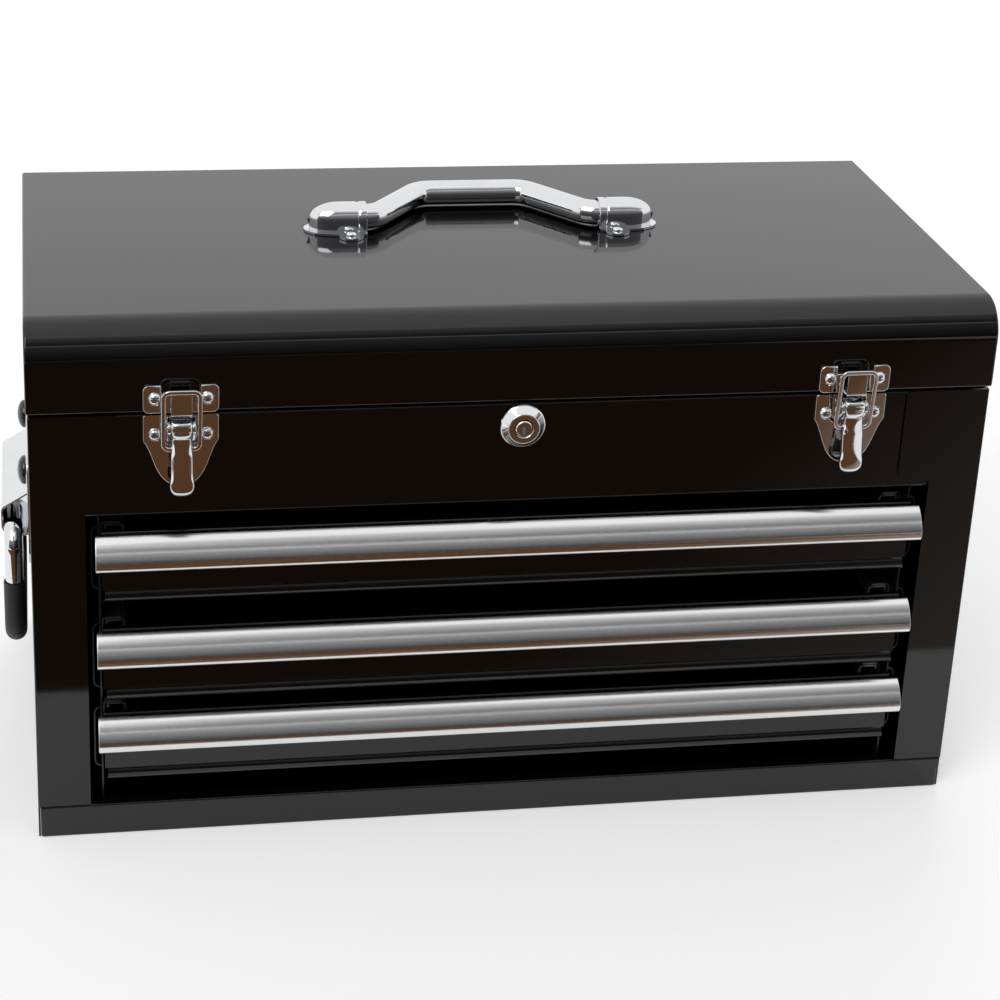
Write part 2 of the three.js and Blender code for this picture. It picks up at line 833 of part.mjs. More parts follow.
// Loop: a flat frame that leans out to the hook, on a round bar through the lever
function latchLoop() {
  const barZ = pivotZ - loopDrop;
  const half = loopWidth / 2;
  const inner = half - loopBand;
  const high = loopRise + loopBand / 2;
  const frame = roundedRectangle(-half, half, 0, high, [0, 0, loopCorner, loopCorner]);
  const innerCorner = loopCorner - loopBand;
  const hole = roundedRectangle(-inner, inner, -overrun, high - loopBand, [0, 0, innerCorner, innerCorner]);
  const plate = prism("y", frame, -loopSheet / 2, loopSheet / 2);
  const window = prism("y", hole, -loopSheet, loopSheet);
  const hookFace = strikeFront + plateSheet / 2 - 2 * hookRadius - plateSheet / 2;
  const topY = hookFace - loopHookGap - loopSheet / 2;
  const lean = THREE.MathUtils.radToDeg(Math.asin((pivotY - topY) / loopRise));
  const bar = prism("x", disc(0, 0, loopBarRadius, bailSides), -half + loopBand / 2, half - loopBand / 2);
  const rounds = prism("x", disc(0, 0, loopBand / 2), -half, half);
  const ends = cut(rounds, block([-inner, inner], [-overrun, overrun], [-overrun, overrun]));
  return join(cut(plate, window), ends).rotate([lean, 0, 0]).add(bar).translate([0, pivotY, barZ]);
}

// Lock in the header: bezel and barrel, nut, plug with its keyway, and cam
function lockHousing() {
  const back = lockFront + barrelLength;
  const profile = [
    [plugRadius + seat, -bezelReach],
    [bezelFace, -bezelReach],
    [bezelFace + seat, -bezelReach + seat],
    [bezelRadius, -seat],
    [bezelRadius, 0],
    [barrelRadius, 0],
    [barrelRadius, back - lockFront],
    [plugRadius + seat, back - lockFront],
    [plugRadius + seat, -bezelReach],
  ];
  return turned("y", profile, [0, lockFront, lockZ]);
}

function lockNut() {
  const front = headerFace + caseSheet + seat;
  const ring = prism("y", disc(0, lockZ, nutRadius, nutSides), front, front + nutSheet);
  const hole = prism("y", disc(0, lockZ, barrelRadius + seat), front - overrun, front + nutSheet + overrun);
  return cut(ring, hole);
}

function lockPlug() {
  const face = lockFront - bezelReach;
  const end = camBack + camSheet;
  const body = prism("y", disc(0, lockZ, plugRadius), face, camBack - seat);
  const neck = prism("y", disc(0, lockZ, camNeckRadius), face + keywayDepth + seat, end);
  const slot = block(
    [-keywayWidth / 2, keywayWidth / 2],
    [face - overrun, face + keywayDepth],
    [lockZ - keywayHeight / 2, lockZ + keywayHeight / 2],
  );
  return cut(join(body, neck), slot);
}

function lockCam() {
  const half = camWidth / 2;
  const shape = roundedRectangle(-half, half, lockZ - half, lockZ + camReach, [half, half, seat, seat]);
  const plate = prism("y", shape, camBack, camBack + camSheet);
  const holeEnd = camBack + camSheet + overrun;
  const hole = prism("y", disc(0, lockZ, camNeckRadius + seat), camBack - overrun, holeEnd);
  return cut(plate, hole);
}

// Keeper on the lid's front wall: a plate with a window whose lower bar the turned cam holds down
function lockKeeper() {
  const wall = lidFront + lidSheet + seat;
  const low = lidBottom + lidSheet + seat;
  const high = low + keeperRise;
  const flange = block(
    [keeperSide, keeperSide + keeperFlange],
    [wall, wall + keeperSheet],
    [low, high],
  );
  const barZ = lockZ - camWidth / 2 - running;
  const arm = block([keeperSide, keeperSide + keeperSheet], [wall, keeperBack], [low, high]);
  const leg = block(
    [keeperSide, keeperSide + keeperSheet],
    [keeperFront, keeperBack],
    [barZ - keeperBar, high],
  );
  const middle = camBack + camSheet / 2;
  const opening = keeperWindow / 2;
  const window = block(
    [keeperSide - overrun, keeperSide + overrun],
    [middle - opening, middle + opening],
    [barZ, lockZ + camReach],
  );
  return cut(join(flange, arm, leg), window);
}

// Places of the rivets that hold the caps of the top handle
function capRivets() {
  const places = [];
  for (const side of [-1, 1]) {
    for (const end of [-1, 1]) {
      places.push([(side * capRivetSpan) / 2, handleY + (end * capRivetSpread) / 2]);
    }
  }
  return places;
}

function topHandleTube() {
  const at = (x, y) => new THREE.Vector3(x, handleY + y, handleZ);
  const corners = [
    at(-handleEndSpan / 2, 0),
    at(-handleLegStart / 2, 0),
    at(-handleLegEnd / 2, handleReach),
    at(handleLegEnd / 2, handleReach),
    at(handleLegStart / 2, 0),
    at(handleEndSpan / 2, 0),
  ];
  return bentBar(bentLine(corners, handleBend), up, handleTubeRadius, tubeSides);
}

// Hood over one end of the tube: an arch from its mouth to a domed end, on a thin lip with two ears
function topHandleCap(side) {
  const seatZ = lidTop + seat;
  const hood = (radius, low) => {
    const domeX = capSpan / 2 - capLip - handleTubeRadius - running - capSheet;
    const mouthX = capMouthSpan / 2;
    const profile = [[0, mouthX], [radius, mouthX], ...dome(radius, radius, domeX)];
    const archTop = turned("x", profile, [0, handleY, handleZ]);
    const skirt = prism("z", stadium(capMouthSpan / 2, domeX, radius), low, handleZ);
    return join(archTop, skirt);
  };
  const outerRadius = handleTubeRadius + running + capSheet;
  const outer = hood(outerRadius, seatZ);
  const floor = block(
    [0, capSpan],
    [handleY - overrun - outerRadius, handleY + overrun + outerRadius],
    [seatZ - 2 * outerRadius, seatZ],
  );
  const domeX = capSpan / 2 - capLip - outerRadius;
  const lip = prism("z", stadium(capMouthSpan / 2, domeX, outerRadius + capLip), seatZ, seatZ + capSheet);
  const ears = [-1, 1].map((end) => {
    const middle = handleY + (end * capRivetSpread) / 2;
    const eye = disc(capRivetSpan / 2, middle, capEarRadius);
    const foot = block(
      [capRivetSpan / 2 - capEarRadius, capRivetSpan / 2 + capEarRadius],
      [Math.min(middle, handleY), Math.max(middle, handleY)],
      [seatZ, seatZ + capSheet],
    );
    return join(prism("z", eye, seatZ, seatZ + capSheet), foot);
  });
  const inner = hood(handleTubeRadius + running, seatZ - overrun).translate([-seat, 0, 0]);
  const mouth = block(
    [0, capMouthSpan / 2 + seat],
    [handleY - handleTubeRadius - running, handleY + handleTubeRadius + running],
    [seatZ - overrun, handleZ],
  );
  const holes = [-1, 1].map((end) => {
    const middle = handleY + (end * capRivetSpread) / 2;
    const shape = disc(capRivetSpan / 2, middle, shankRadius + seat, tubeSides);
    return prism("z", shape, seatZ - overrun, seatZ + overrun);
  });
  const cap = cut(join(cut(outer, floor), lip, ...ears), inner, mouth, ...holes);
  return side > 0 ? cap : cap.mirror([1, 0, 0]);
}

// Outline of a slot's shape: square at its first end, round at its far end
function stadium(x0, x1, radius) {
  const round = arc(x1, handleY, radius, radius, -90, 90, 2 * arcSteps);
  return polygon([[x0, handleY - radius], ...round, [x0, handleY + radius]]);
}

// Rivet through a cap's ear and the lid: head, shank and the tail under the lid
function topHandleRivet([x, y]) {
  const head = lidTop + seat + capSheet + seat;
  const tail = lidTop - lidSheet - seat;
  const profile = [
    [0, tail - shankTail],
    [smallRivetRadius, tail - shankTail],
    [smallRivetRadius, tail],
    [shankRadius, tail],
    [shankRadius, head],
    ...dome(smallRivetRadius, smallRivetHeight, head),
  ];
  return turned("z", profile, [x, y, 0], tubeSides);
}

// Side handle, made for the left side with its origin on the wall at the pivot's height
function sideHandleBracket() {
  const half = bracketWidth / 2;
  const corners = [bracketCorner, bracketCorner, bracketCorner, bracketCorner];
  const rear = -seat - bracketSheet;
  const outline = roundedRectangle(-half, half, -bracketBelow, bracketAbove, corners);
  const plate = prism("x", outline, rear, -seat);
  const line = hoodSheet / 2;
  const plateLine = rear + bracketSheet / 2;
  const wrap = bailRadius + seat + line;
  const outer = -bailReach - wrap;
  const section = ribbon(
    [
      [plateLine, hoodTop],
      ...arc(outer + hoodCorner, hoodShoulder, hoodCorner, hoodCorner, 115, 180),
      ...arc(-bailReach, 0, wrap, wrap, 180, 270),
      [plateLine, -wrap],
    ],
    hoodSheet,
  );
  const hood = prism("y", section, -hoodLength / 2, hoodLength / 2);
  const holes = [-1, 1].map((end) => {
    const shape = disc((end * boltSpread) / 2, boltRise, boltShank + seat);
    return prism("x", shape, rear - overrun, overrun);
  });
  return cut(join(plate, hood), ...holes);
}

// Bail from one end in the hood, down, along the grip and up to its other end
function sideHandleBail() {
  const at = (y, z) => new THREE.Vector3(-bailReach, y, z);
  const end = hoodLength / 2 - bailEnd;
  const half = bailWidth / 2;
  const corners = [
    at(-end, 0),
    at(-half, 0),
    at(-half, -bailDrop),
    at(half, -bailDrop),
    at(half, 0),
    at(end, 0),
  ];
  return bentBar(bentLine(corners, bailBend), right, bailRadius, bailSides);
}

// Sleeve over the lower half of the bail
function sideHandleGrip() {
  const half = bailWidth / 2;
  const sleeve = (radius, rise) => {
    const at = (y, z) => new THREE.Vector3(-bailReach, y, z);
    const top = rise - gripStart;
    const corners = [at(-half, top), at(-half, -bailDrop), at(half, -bailDrop), at(half, top)];
    return bentBar(bentLine(corners, bailBend), right, radius, bailSides);
  };
  return cut(sleeve(bailRadius + running + gripWall, 0), sleeve(bailRadius + running, overrun));
}

function sideHandleBolt(end) {
  const head = seat + bracketSheet + seat;
  const inside = -caseSheet - seat;
  const profile = [
    [0, inside - boltNutHeight],
    [boltNutRadius, inside - boltNutHeight],
    [boltNutRadius, inside],
    [boltShank, inside],
    [boltShank, head],
    ...dome(boltRadius, boltHeight, head),
  ];
  const bolt = turned("z", profile, [0, 0, 0], tubeSides);
  return bolt.rotate([0, -90, 0]).translate([0, (end * boltSpread) / 2, boltRise]);
}

// Assembly
const toolBox = new THREE.Group();
const sides = [
  ["left", -1],
  ["right", 1],
];
const ends = [
  ["front", -1],
  ["rear", 1],
];

toolBox.add(meshOf("case_shell", caseShell(), blackPaint));
toolBox.add(meshOf("header_panel", headerPanel(), blackPaint));
toolBox.add(meshOf("compartment_floor", compartmentFloor(), innerPaint));
toolBox.add(meshOf("bottom_pan", bottomPan(), blackPaint));
for (const [sideName, side] of sides) {
  toolBox.add(meshOf("slide_frame_" + sideName, slideFrame(side), innerPaint));
}

for (const drawer of drawers) {
  toolBox.add(meshOf("drawer_" + drawer.name, drawerBody(drawer), blackPaint));
  toolBox.add(meshOf("drawer_pull_" + drawer.name, drawerPull(drawer), pullMetal));
  const slideZ = drawer.top - slideDrop;
  for (const [sideName, side] of sides) {
    toolBox.add(meshOf("case_slide_" + drawer.name + "_" + sideName, caseSlide(side, slideZ), zinc));
    toolBox.add(meshOf("drawer_slide_" + drawer.name + "_" + sideName, drawerSlide(side, slideZ), zinc));
  }
}

toolBox.add(meshOf("lid_shell", lidShell(), blackPaint));
toolBox.add(meshOf("hinge_case_leaf", hingeLeaf(-1), blackPaint));
toolBox.add(meshOf("hinge_lid_leaf", hingeLeaf(1), blackPaint));
toolBox.add(meshOf("hinge_pin", hingePin(), zinc));

for (const [sideName, side] of sides) {
  const latch = new THREE.Group();
  latch.position.x = (side * latchSpacing) / 2;
  latch.add(meshOf("latch_strike_" + sideName, latchStrike(), chrome));
  latch.add(meshOf("latch_base_" + sideName, latchBase(), chrome));
  latch.add(meshOf("latch_pin_" + sideName, latchPin(), chrome));
  latch.add(meshOf("latch_lever_" + sideName, latchLever(), chrome));
  latch.add(meshOf("latch_loop_" + sideName, latchLoop(), chrome));
  toolBox.add(latch);
}

toolBox.add(meshOf("lock_housing", lockHousing(), chrome));
toolBox.add(meshOf("lock_nut", lockNut(), zinc));
toolBox.add(meshOf("lock_plug", lockPlug(), chrome));
toolBox.add(meshOf("lock_cam", lockCam(), zinc));
toolBox.add(meshOf("lock_keeper", lockKeeper(), zinc));

toolBox.add(meshOf("top_handle_tube", topHandleTube(), chrome));
for (const [sideName, side] of sides) {
  toolBox.add(meshOf("top_handle_cap_" + sideName, topHandleCap(side), chrome));
}
capRivets().forEach((place, i) => {
  const name = "top_handle_rivet_" + sides[Math.floor(i / 2)][0] + "_" + ends[i % 2][0];
  toolBox.add(meshOf(name, topHandleRivet(place), chrome));
});

for (const [sideName, side] of sides) {
  const handle = new THREE.Group();
  handle.position.set((side * caseWidth) / 2, sideHandleSetback, sideHandleHeight);
  handle.rotation.z = side > 0 ? Math.PI : 0;
  handle.add(meshOf("side_handle_bracket_" + sideName, sideHandleBracket(), chrome));
  handle.add(meshOf("side_handle_bail_" + sideName, sideHandleBail(), chrome));
  handle.add(meshOf("side_handle_grip_" + sideName, sideHandleGrip(), vinyl));
  for (const [endName, end] of ends) {
    const name = "side_handle_bolt_" + sideName + "_" + endName;
    handle.add(meshOf(name, sideHandleBolt(side < 0 ? end : -end), blackBolt));
  }
  toolBox.add(handle);
}

// The finished box stands with its origin under the middle of the case
toolBox.position.y = -caseDepth / 2;

export default toolBox;
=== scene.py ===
import json
import math
import bpy
from mathutils import Matrix, Vector


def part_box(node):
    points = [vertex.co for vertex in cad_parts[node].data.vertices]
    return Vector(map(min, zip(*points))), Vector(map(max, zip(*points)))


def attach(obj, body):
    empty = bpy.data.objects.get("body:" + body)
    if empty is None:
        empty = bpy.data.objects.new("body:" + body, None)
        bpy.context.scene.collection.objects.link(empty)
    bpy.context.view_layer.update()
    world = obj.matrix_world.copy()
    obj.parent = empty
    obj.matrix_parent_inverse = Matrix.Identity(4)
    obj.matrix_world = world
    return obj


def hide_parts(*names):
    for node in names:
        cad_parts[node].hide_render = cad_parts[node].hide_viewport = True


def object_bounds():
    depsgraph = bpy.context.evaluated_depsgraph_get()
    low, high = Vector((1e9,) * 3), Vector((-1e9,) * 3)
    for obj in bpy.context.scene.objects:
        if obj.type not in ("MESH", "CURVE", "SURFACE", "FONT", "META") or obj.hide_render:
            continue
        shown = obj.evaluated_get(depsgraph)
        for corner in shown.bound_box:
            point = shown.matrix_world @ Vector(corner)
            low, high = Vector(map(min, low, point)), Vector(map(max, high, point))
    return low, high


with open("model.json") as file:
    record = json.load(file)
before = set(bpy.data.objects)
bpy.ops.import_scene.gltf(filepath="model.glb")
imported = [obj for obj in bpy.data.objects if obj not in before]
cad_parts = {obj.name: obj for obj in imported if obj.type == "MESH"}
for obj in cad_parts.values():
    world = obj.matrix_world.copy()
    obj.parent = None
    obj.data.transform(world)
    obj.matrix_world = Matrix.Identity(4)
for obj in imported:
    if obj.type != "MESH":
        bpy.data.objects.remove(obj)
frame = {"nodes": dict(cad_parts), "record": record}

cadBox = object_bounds()
mm = 0.001
depthTurn = (math.radians(90), 0, 0)
acrossTurn = (0, math.radians(90), 0)
near = 0.1 * mm


# Selecting and shaping

def lengths(sizes, *names):
    # the named sizes in metres
    return [sizes[name] * mm for name in names]


def objectMode():
    bpy.ops.object.mode_set(mode="OBJECT")


def editMode():
    bpy.ops.object.mode_set(mode="EDIT")


def selectAll():
    bpy.ops.mesh.select_all(action="SELECT")


def faceOutwards():
    # turns the faces of the mesh in edit mode outwards, and leaves edit mode
    selectAll()
    bpy.ops.mesh.normals_make_consistent(inside=False)
    objectMode()


def applyTransform():
    bpy.ops.object.transform_apply(location=True, rotation=True, scale=True)


def deselectAll():
    if bpy.context.mode != "OBJECT":
        objectMode()
    bpy.ops.object.select_all(action="DESELECT")


def makeActive(obj):
    deselectAll()
    obj.select_set(True)
    bpy.context.view_layer.objects.active = obj


def pickParts(obj, kind, test):
    # kind is VERT, EDGE or FACE; leaves edit mode on with the chosen parts selected
    makeActive(obj)
    editMode()
    bpy.ops.mesh.select_mode(type=kind)
    bpy.ops.mesh.select_all(action="DESELECT")
    objectMode()
    mesh = obj.data
    places = [v.co for v in mesh.vertices]
    if kind == "VERT":
        for vertex in mesh.vertices:
            vertex.select = test(vertex.co)
    elif kind == "EDGE":
        for edge in mesh.edges:
            edge.select = test(*[places[i] for i in edge.vertices])
    else:
        for face in mesh.polygons:
            face.select = test(face.center, face.normal)
    editMode()


def extrudeBy(x=0, y=0, z=0):
    bpy.ops.mesh.extrude_region_move(TRANSFORM_OT_translate={"value": (x, y, z)})


def applyModifiers(obj):
    makeActive(obj)
    for modifier in list(obj.modifiers):
        bpy.ops.object.modifier_apply(modifier=modifier.name)


def addBevel(obj, width, segments=3, angle=30, clamped=True):
    bevel = obj.modifiers.new("Bevel", "BEVEL")
    bevel.use_clamp_overlap = clamped
    bevel.width = width
    bevel.segments = segments
    bevel.limit_method = "ANGLE"
    bevel.angle_limit = math.radians(angle)
    bevel.harden_normals = False


def addWall(obj, thickness, offset=0, even=True):
    wall = obj.modifiers.new("Wall", "SOLIDIFY")
    wall.thickness = thickness
    wall.offset = offset
    wall.use_even_offset = even


def breakEdges(obj, width, segments=3, angle=50, clamped=True):
    # a small bevel along the sharp edges, applied with what waits before it
    addBevel(obj, width, segments, angle, clamped)
    applyModifiers(obj)


def copyOf(obj):
    twin = obj.copy()
    twin.data = obj.data.copy()
    bpy.context.collection.objects.link(twin)
    return twin


def mirroredCopy(obj):
    # a copy for the other side, with its faces put right again
    twin = copyOf(obj)
    makeActive(twin)
    twin.scale.x = -1
    applyTransform()
    editMode()
    selectAll()
    bpy.ops.mesh.flip_normals()
    objectMode()
    return twin


def joinPieces(first, *others):
    makeActive(first)
    for other in others:
        other.select_set(True)
    bpy.ops.object.join()
    return first


def addBlock(low, high):
    # a cube primitive between two corners, ready to be cut and bevelled
    deselectAll()
    middle = [(a + b) / 2 for a, b in zip(low, high)]
    bpy.ops.mesh.primitive_cube_add(size=1, location=middle)
    block = bpy.context.active_object
    block.scale = [b - a for a, b in zip(low, high)]
    applyTransform()
    return block


def traceLine(points):
    # a tiny plane merged to one corner, then pulled from point to point
    deselectAll()
    bpy.ops.mesh.primitive_plane_add(size=mm, location=points[0])
    line = bpy.context.active_object
    applyTransform()
    editMode()
    bpy.ops.mesh.select_mode(type="VERT")
    selectAll()
    bpy.ops.mesh.merge(type="CENTER")
    for here, there in zip(points, points[1:]):
        extrudeBy(*(Vector(there) - Vector(here)))
    return line


def pulledLine(points, x=0, y=0, z=0):
    # a traced profile pulled out to its length, before it gets a thickness
    sheet = traceLine(points)
    selectAll()
    extrudeBy(x, y, z)
    faceOutwards()
    return sheet


def cutPlate(points, thickness):
    # a closed outline filled and pulled out to its thickness
    plate = traceLine(points)
    selectAll()
    bpy.ops.mesh.edge_face_add()
    selectAll()
    extrudeBy(*thickness)
    faceOutwards()
    return plate


def turnProfile(points, centre, axis, steps=48):
    turned = traceLine(points)
    selectAll()
    bpy.ops.mesh.spin(steps=steps, angle=math.radians(360), center=centre, axis=axis)
    selectAll()
    bpy.ops.mesh.remove_doubles(threshold=0.01 * mm)
    faceOutwards()
    return turned


def bentTube(points, radius, resolution=5, capped=True):
    # a traced line made a round bar
    tube = traceLine(points)
    objectMode()
    bpy.ops.object.convert(target="CURVE")
    tube.data.dimensions = "3D"
    tube.data.bevel_depth = radius
    tube.data.bevel_resolution = resolution
    tube.data.use_fill_caps = capped
    bpy.ops.object.convert(target="MESH")
    editMode()
    selectAll()
    bpy.ops.mesh.remove_doubles(threshold=0.01 * mm)
    faceOutwards()
    return tube


def arcPoints(a, b, radiusA, radiusB, start, end, steps):
    turns = [math.radians(start + (end - start) * i / steps) for i in range(steps + 1)]
    return [(a + radiusA * math.cos(t), b + radiusB * math.sin(t)) for t in turns]


def roundedCorners(corners, bend, steps):
    # the points of a line through its corners, each rounded by the same bend
    line = [corners[0]]
    for before, corner, after in zip(corners, corners[1:], corners[2:]):
        into = (corner - before).normalized()
        turn = into.angle((after - corner).normalized())
        axle = into.cross(after - corner).normalized()
        start = corner - into * bend * math.tan(turn / 2)
        centre = start + axle.cross(into) * bend
        for i in range(steps + 1):
            line.append(centre + Matrix.Rotation(turn * i / steps, 3, axle) @ (start - centre))
    line.append(corners[-1])
    return line


def softenedNode(node, radius):
    # a merged copy of a plain node, with its cut edges broken
    soft = copyOf(frame["nodes"][node])
    soft.hide_render = False
    soft.hide_viewport = False
    soft.parent = None
    makeActive(soft)
    editMode()
    selectAll()
    bpy.ops.mesh.remove_doubles(threshold=0.005 * mm)
    bpy.ops.mesh.dissolve_limited(angle_limit=math.radians(1))
    objectMode()
    breakEdges(soft, radius, 2, 25)
    return soft


def pieceName(node):
    first, *others = node.split("_")
    return first + "".join(word.capitalize() for word in others)


def finishPiece(obj, node, body, slotName, smooth=30):
    # the finished piece that stands in a node's place
    makeActive(obj)
    applyTransform()
    bpy.ops.object.shade_smooth_by_angle(angle=math.radians(smooth))
    obj.modifiers.new("Flats", "WEIGHTED_NORMAL").keep_sharp = True
    applyModifiers(obj)
    obj.name = pieceName(node)
    obj.data.materials.clear()
    obj.data.materials.append(finishes[slotName])
    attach(obj, body)
    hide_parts(node)
    return obj


def finishPair(left, right, node, body, slotName, smooth=30):
    # the pieces of both sides; node and body hold the place of the side's name
    for side, piece in (("left", left), ("right", right)):
        finishPiece(piece, node.format(side), body.format(side), slotName, smooth)


# Camera

cameraSettings = {
    "place": (-0.24353, -1.23980, 0.74206), "yaw": 9.918, "pitch": 22.093, "roll": 2.252,
    "lens": 86.424, "sensor": 36, "shift": (0.066, -0.157),
}


def addCamera():
    yaw, pitch, roll = [math.radians(cameraSettings[k]) for k in ("yaw", "pitch", "roll")]
    level = Vector((math.sin(yaw), math.cos(yaw), 0))
    ahead = level * math.cos(pitch) - Vector((0, 0, 1)) * math.sin(pitch)
    side = Vector((math.cos(yaw), -math.sin(yaw), 0))
    upward = side.cross(ahead)
    tiltedSide = side * math.cos(roll) + upward * math.sin(roll)
    tiltedUp = upward * math.cos(roll) - side * math.sin(roll)
    cameraData = bpy.data.cameras.new("camera")
    cameraData.lens = cameraSettings["lens"]
    cameraData.sensor_width = cameraSettings["sensor"]
    cameraData.shift_x, cameraData.shift_y = cameraSettings["shift"]
    cameraData.dof.use_dof = False
    camera = bpy.data.objects.new("camera", cameraData)
    bpy.context.collection.objects.link(camera)
    turn = Matrix((tiltedSide, tiltedUp, -ahead)).transposed().to_4x4()
    camera.matrix_world = Matrix.Translation(cameraSettings["place"]) @ turn
    bpy.context.scene.camera = camera


# Shader nodes

def nodeTree(name):
    material = bpy.data.materials.new(name)
    material.use_nodes = True
    material.node_tree.nodes.clear()
    return material, material.node_tree


def addNode(tree, kind, values=None, **settings):
    # settings are the node's own; values are those of its sockets
    node = tree.nodes.new("ShaderNode" + kind)
    for name, value in settings.items():
        setattr(node, name, value)
    for socket, value in (values or {}).items():
        node.inputs[socket].default_value = value
    return node


def wire(tree, *rows):
    # each row names a node and its outlet, then a node and its inlet
    for source, outlet, target, inlet in rows:
        tree.links.new(source.outputs[outlet], target.inputs[inlet])


def seenAs(tree, target, inlet):
    # 1 for a ray from the camera, from a mirror or through glass
    path = addNode(tree, "LightPath")
    first = addNode(tree, "Math", operation="MAXIMUM")
    second = addNode(tree, "Math", operation="MAXIMUM")
    wire(
        tree,
        (path, "Is Camera Ray", first, 0),
        (path, "Is Glossy Ray", first, 1),
        (first, 0, second, 0),
        (path, "Is Transmission Ray", second, 1),
        (second, 0, target, inlet),
    )


# Floor, cards that paint reflections, and light

lightSettings = {
    "white": (1, 1, 1, 1), "worldDiffuse": 0.5, "keyPlace": (-1.3, -1.6, 2.2), "keySize": 1.6,
    "keyPower": 26, "backPlace": (0.6, 2.2, 2.4), "backPower": 22,
}
stageSettings = {
    "floorSize": 40, "floorColour": (0.86, 0.86, 0.86, 1), "floorGlow": 0.34, "brownX": -0.15,
    "brownSize": (1.9, 2.4), "brownGap": 0.14, "wallPlace": -2.8, "wallSize": (9, 2.2),
    "ceilingPlace": (0, -2.55, 3), "ceilingSize": (9, 1.95),
}


def addWorld():
    world = bpy.data.worlds.new("studio")
    bpy.context.scene.world = world
    world.use_nodes = True
    tree = world.node_tree
    tree.nodes.clear()
    strength = addNode(tree, "MapRange", {"To Min": lightSettings["worldDiffuse"], "To Max": 1})
    background = addNode(tree, "Background", {"Color": lightSettings["white"]})
    output = addNode(tree, "OutputWorld")
    seenAs(tree, strength, "Value")
    wire(tree, (strength, "Result", background, "Strength"), (background, 0, output, "Surface"))


def addFloor():
    deselectAll()
    bpy.ops.mesh.primitive_plane_add(size=stageSettings["floorSize"], location=(0, 0, cadBox[0].z))
    floor = bpy.context.active_object
    floor.name = "floor"
    material, tree = nodeTree("paleFloor")
    paint = addNode(tree, "BsdfDiffuse", {"Color": stageSettings["floorColour"]})
    glowValues = {"Color": lightSettings["white"], "Strength": stageSettings["floorGlow"]}
    glow = addNode(tree, "Emission", glowValues)
    both = addNode(tree, "AddShader")
    mix = addNode(tree, "MixShader")
    output = addNode(tree, "OutputMaterial")
    seenAs(tree, mix, "Fac")
    wire(
        tree,
        (paint, 0, both, 0),
        (glow, 0, both, 1),
        (paint, 0, mix, 1),
        (both, 0, mix, 2),
        (mix, 0, output, "Surface"),
    )
    floor.data.materials.append(material)


def addCard(name, turn, place, size, direction, span, first, last):
    # a glowing card seen only in reflections, a painted reflection with a ramp of colour along a
    # direction
    deselectAll()
    bpy.ops.mesh.primitive_plane_add(size=1, location=place, rotation=turn)
    card = bpy.context.active_object
    card.name = name
    card.scale = (*size, 1)
    applyTransform()
    material, tree = nodeTree(name)
    place = addNode(tree, "TexCoord")
    along = addNode(tree, "VectorMath", {1: direction}, operation="DOT_PRODUCT")
    spread = addNode(tree, "MapRange", {"From Min": span[0], "From Max": span[1]})
    blend = addNode(tree, "Mix", {"A": (*first, 1), "B": (*last, 1)}, data_type="RGBA")
    glow = addNode(tree, "Emission")
    output = addNode(tree, "OutputMaterial")
    wire(
        tree,
        (place, "Object", along, 0),
        (along, "Value", spread, "Value"),
        (spread, "Result", blend, "Factor"),
        (blend, "Result", glow, "Color"),
        (glow, 0, output, "Surface"),
    )
    card.data.materials.append(material)
    card.visible_camera = False
    card.visible_diffuse = False
    card.visible_shadow = False
    card.visible_transmission = False


def addCards():
    # painted reflections: a brown card on the floor in front, a dark-to-grey card behind the camera and
    # a grey card overhead; none lights the box
    width, depth = stageSettings["brownSize"]
    front = cadBox[0].y - stageSettings["brownGap"]
    place = (stageSettings["brownX"], front - depth / 2, cadBox[0].z + mm)
    brown, grey = (0.105, 0.05, 0.023), (0.42, 0.37, 0.34)
    addCard("brownCard", (0, 0, 0), place, (width, depth), (1, 0.9, 0), (-0.244, 0.156), brown, grey)
    width, height = stageSettings["wallSize"]
    place = (0, stageSettings["wallPlace"], height / 2)
    dark, grey = (0.03, 0.027, 0.026), (0.27, 0.27, 0.28)
    addCard("greyWall", depthTurn, place, (width, height), (0, 0, 1), (0.1, 1.9), dark, grey)
    place, size = stageSettings["ceilingPlace"], stageSettings["ceilingSize"]
    far, near = (0.12, 0.12, 0.125), (0.6, 0.6, 0.61)
    addCard("greyCeiling", (math.radians(180), 0, 0), place, size, (0, 1, 0), (-3.1, -1.6), far, near)


def addLamp(name, place, power):
    lampData = bpy.data.lights.new(name, "AREA")
    lampData.size = lightSettings["keySize"]
    lampData.energy = power
    lamp = bpy.data.objects.new(name, lampData)
    bpy.context.collection.objects.link(lamp)
    lamp.location = place
    lamp.rotation_euler = (-Vector(place)).to_track_quat("-Z", "Y").to_euler()
    lamp.visible_camera = False
    return lamp


addCamera()
addWorld()
addFloor()
addCards()
addLamp("keyLamp", lightSettings["keyPlace"], lightSettings["keyPower"])
backLamp = addLamp("backLamp", lightSettings["backPlace"], lightSettings["backPower"])
backLamp.visible_glossy = False
bpy.context.scene.view_settings.view_transform = "Standard"
print("camera, floor and light are in place")


# Finishes

skinSettings = {
    "waveDetail": 2, "speckDetail": 1, "broadScale": 9, "broadDetail": 4, "dust": (0.66, 0.8),
    "ior": 1.5, "coatRoughness": 0.03,
}
grainSettings = {"detail": 6, "fineness": 0.65, "shade": 0.88}
bumpDistance = 0.02 * mm


def newGroup(name, inputs, outputs):
    group = bpy.data.node_groups.new(name, "ShaderNodeTree")
    for label, kind, value in inputs:
        socket = group.interface.new_socket(name=label, in_out="INPUT", socket_type=kind)
        socket.default_value = value
    for label in outputs:
        group.interface.new_socket(name=label, in_out="OUTPUT", socket_type="NodeSocketFloat")
    return group, group.nodes.new("NodeGroupInput"), group.nodes.new("NodeGroupOutput")


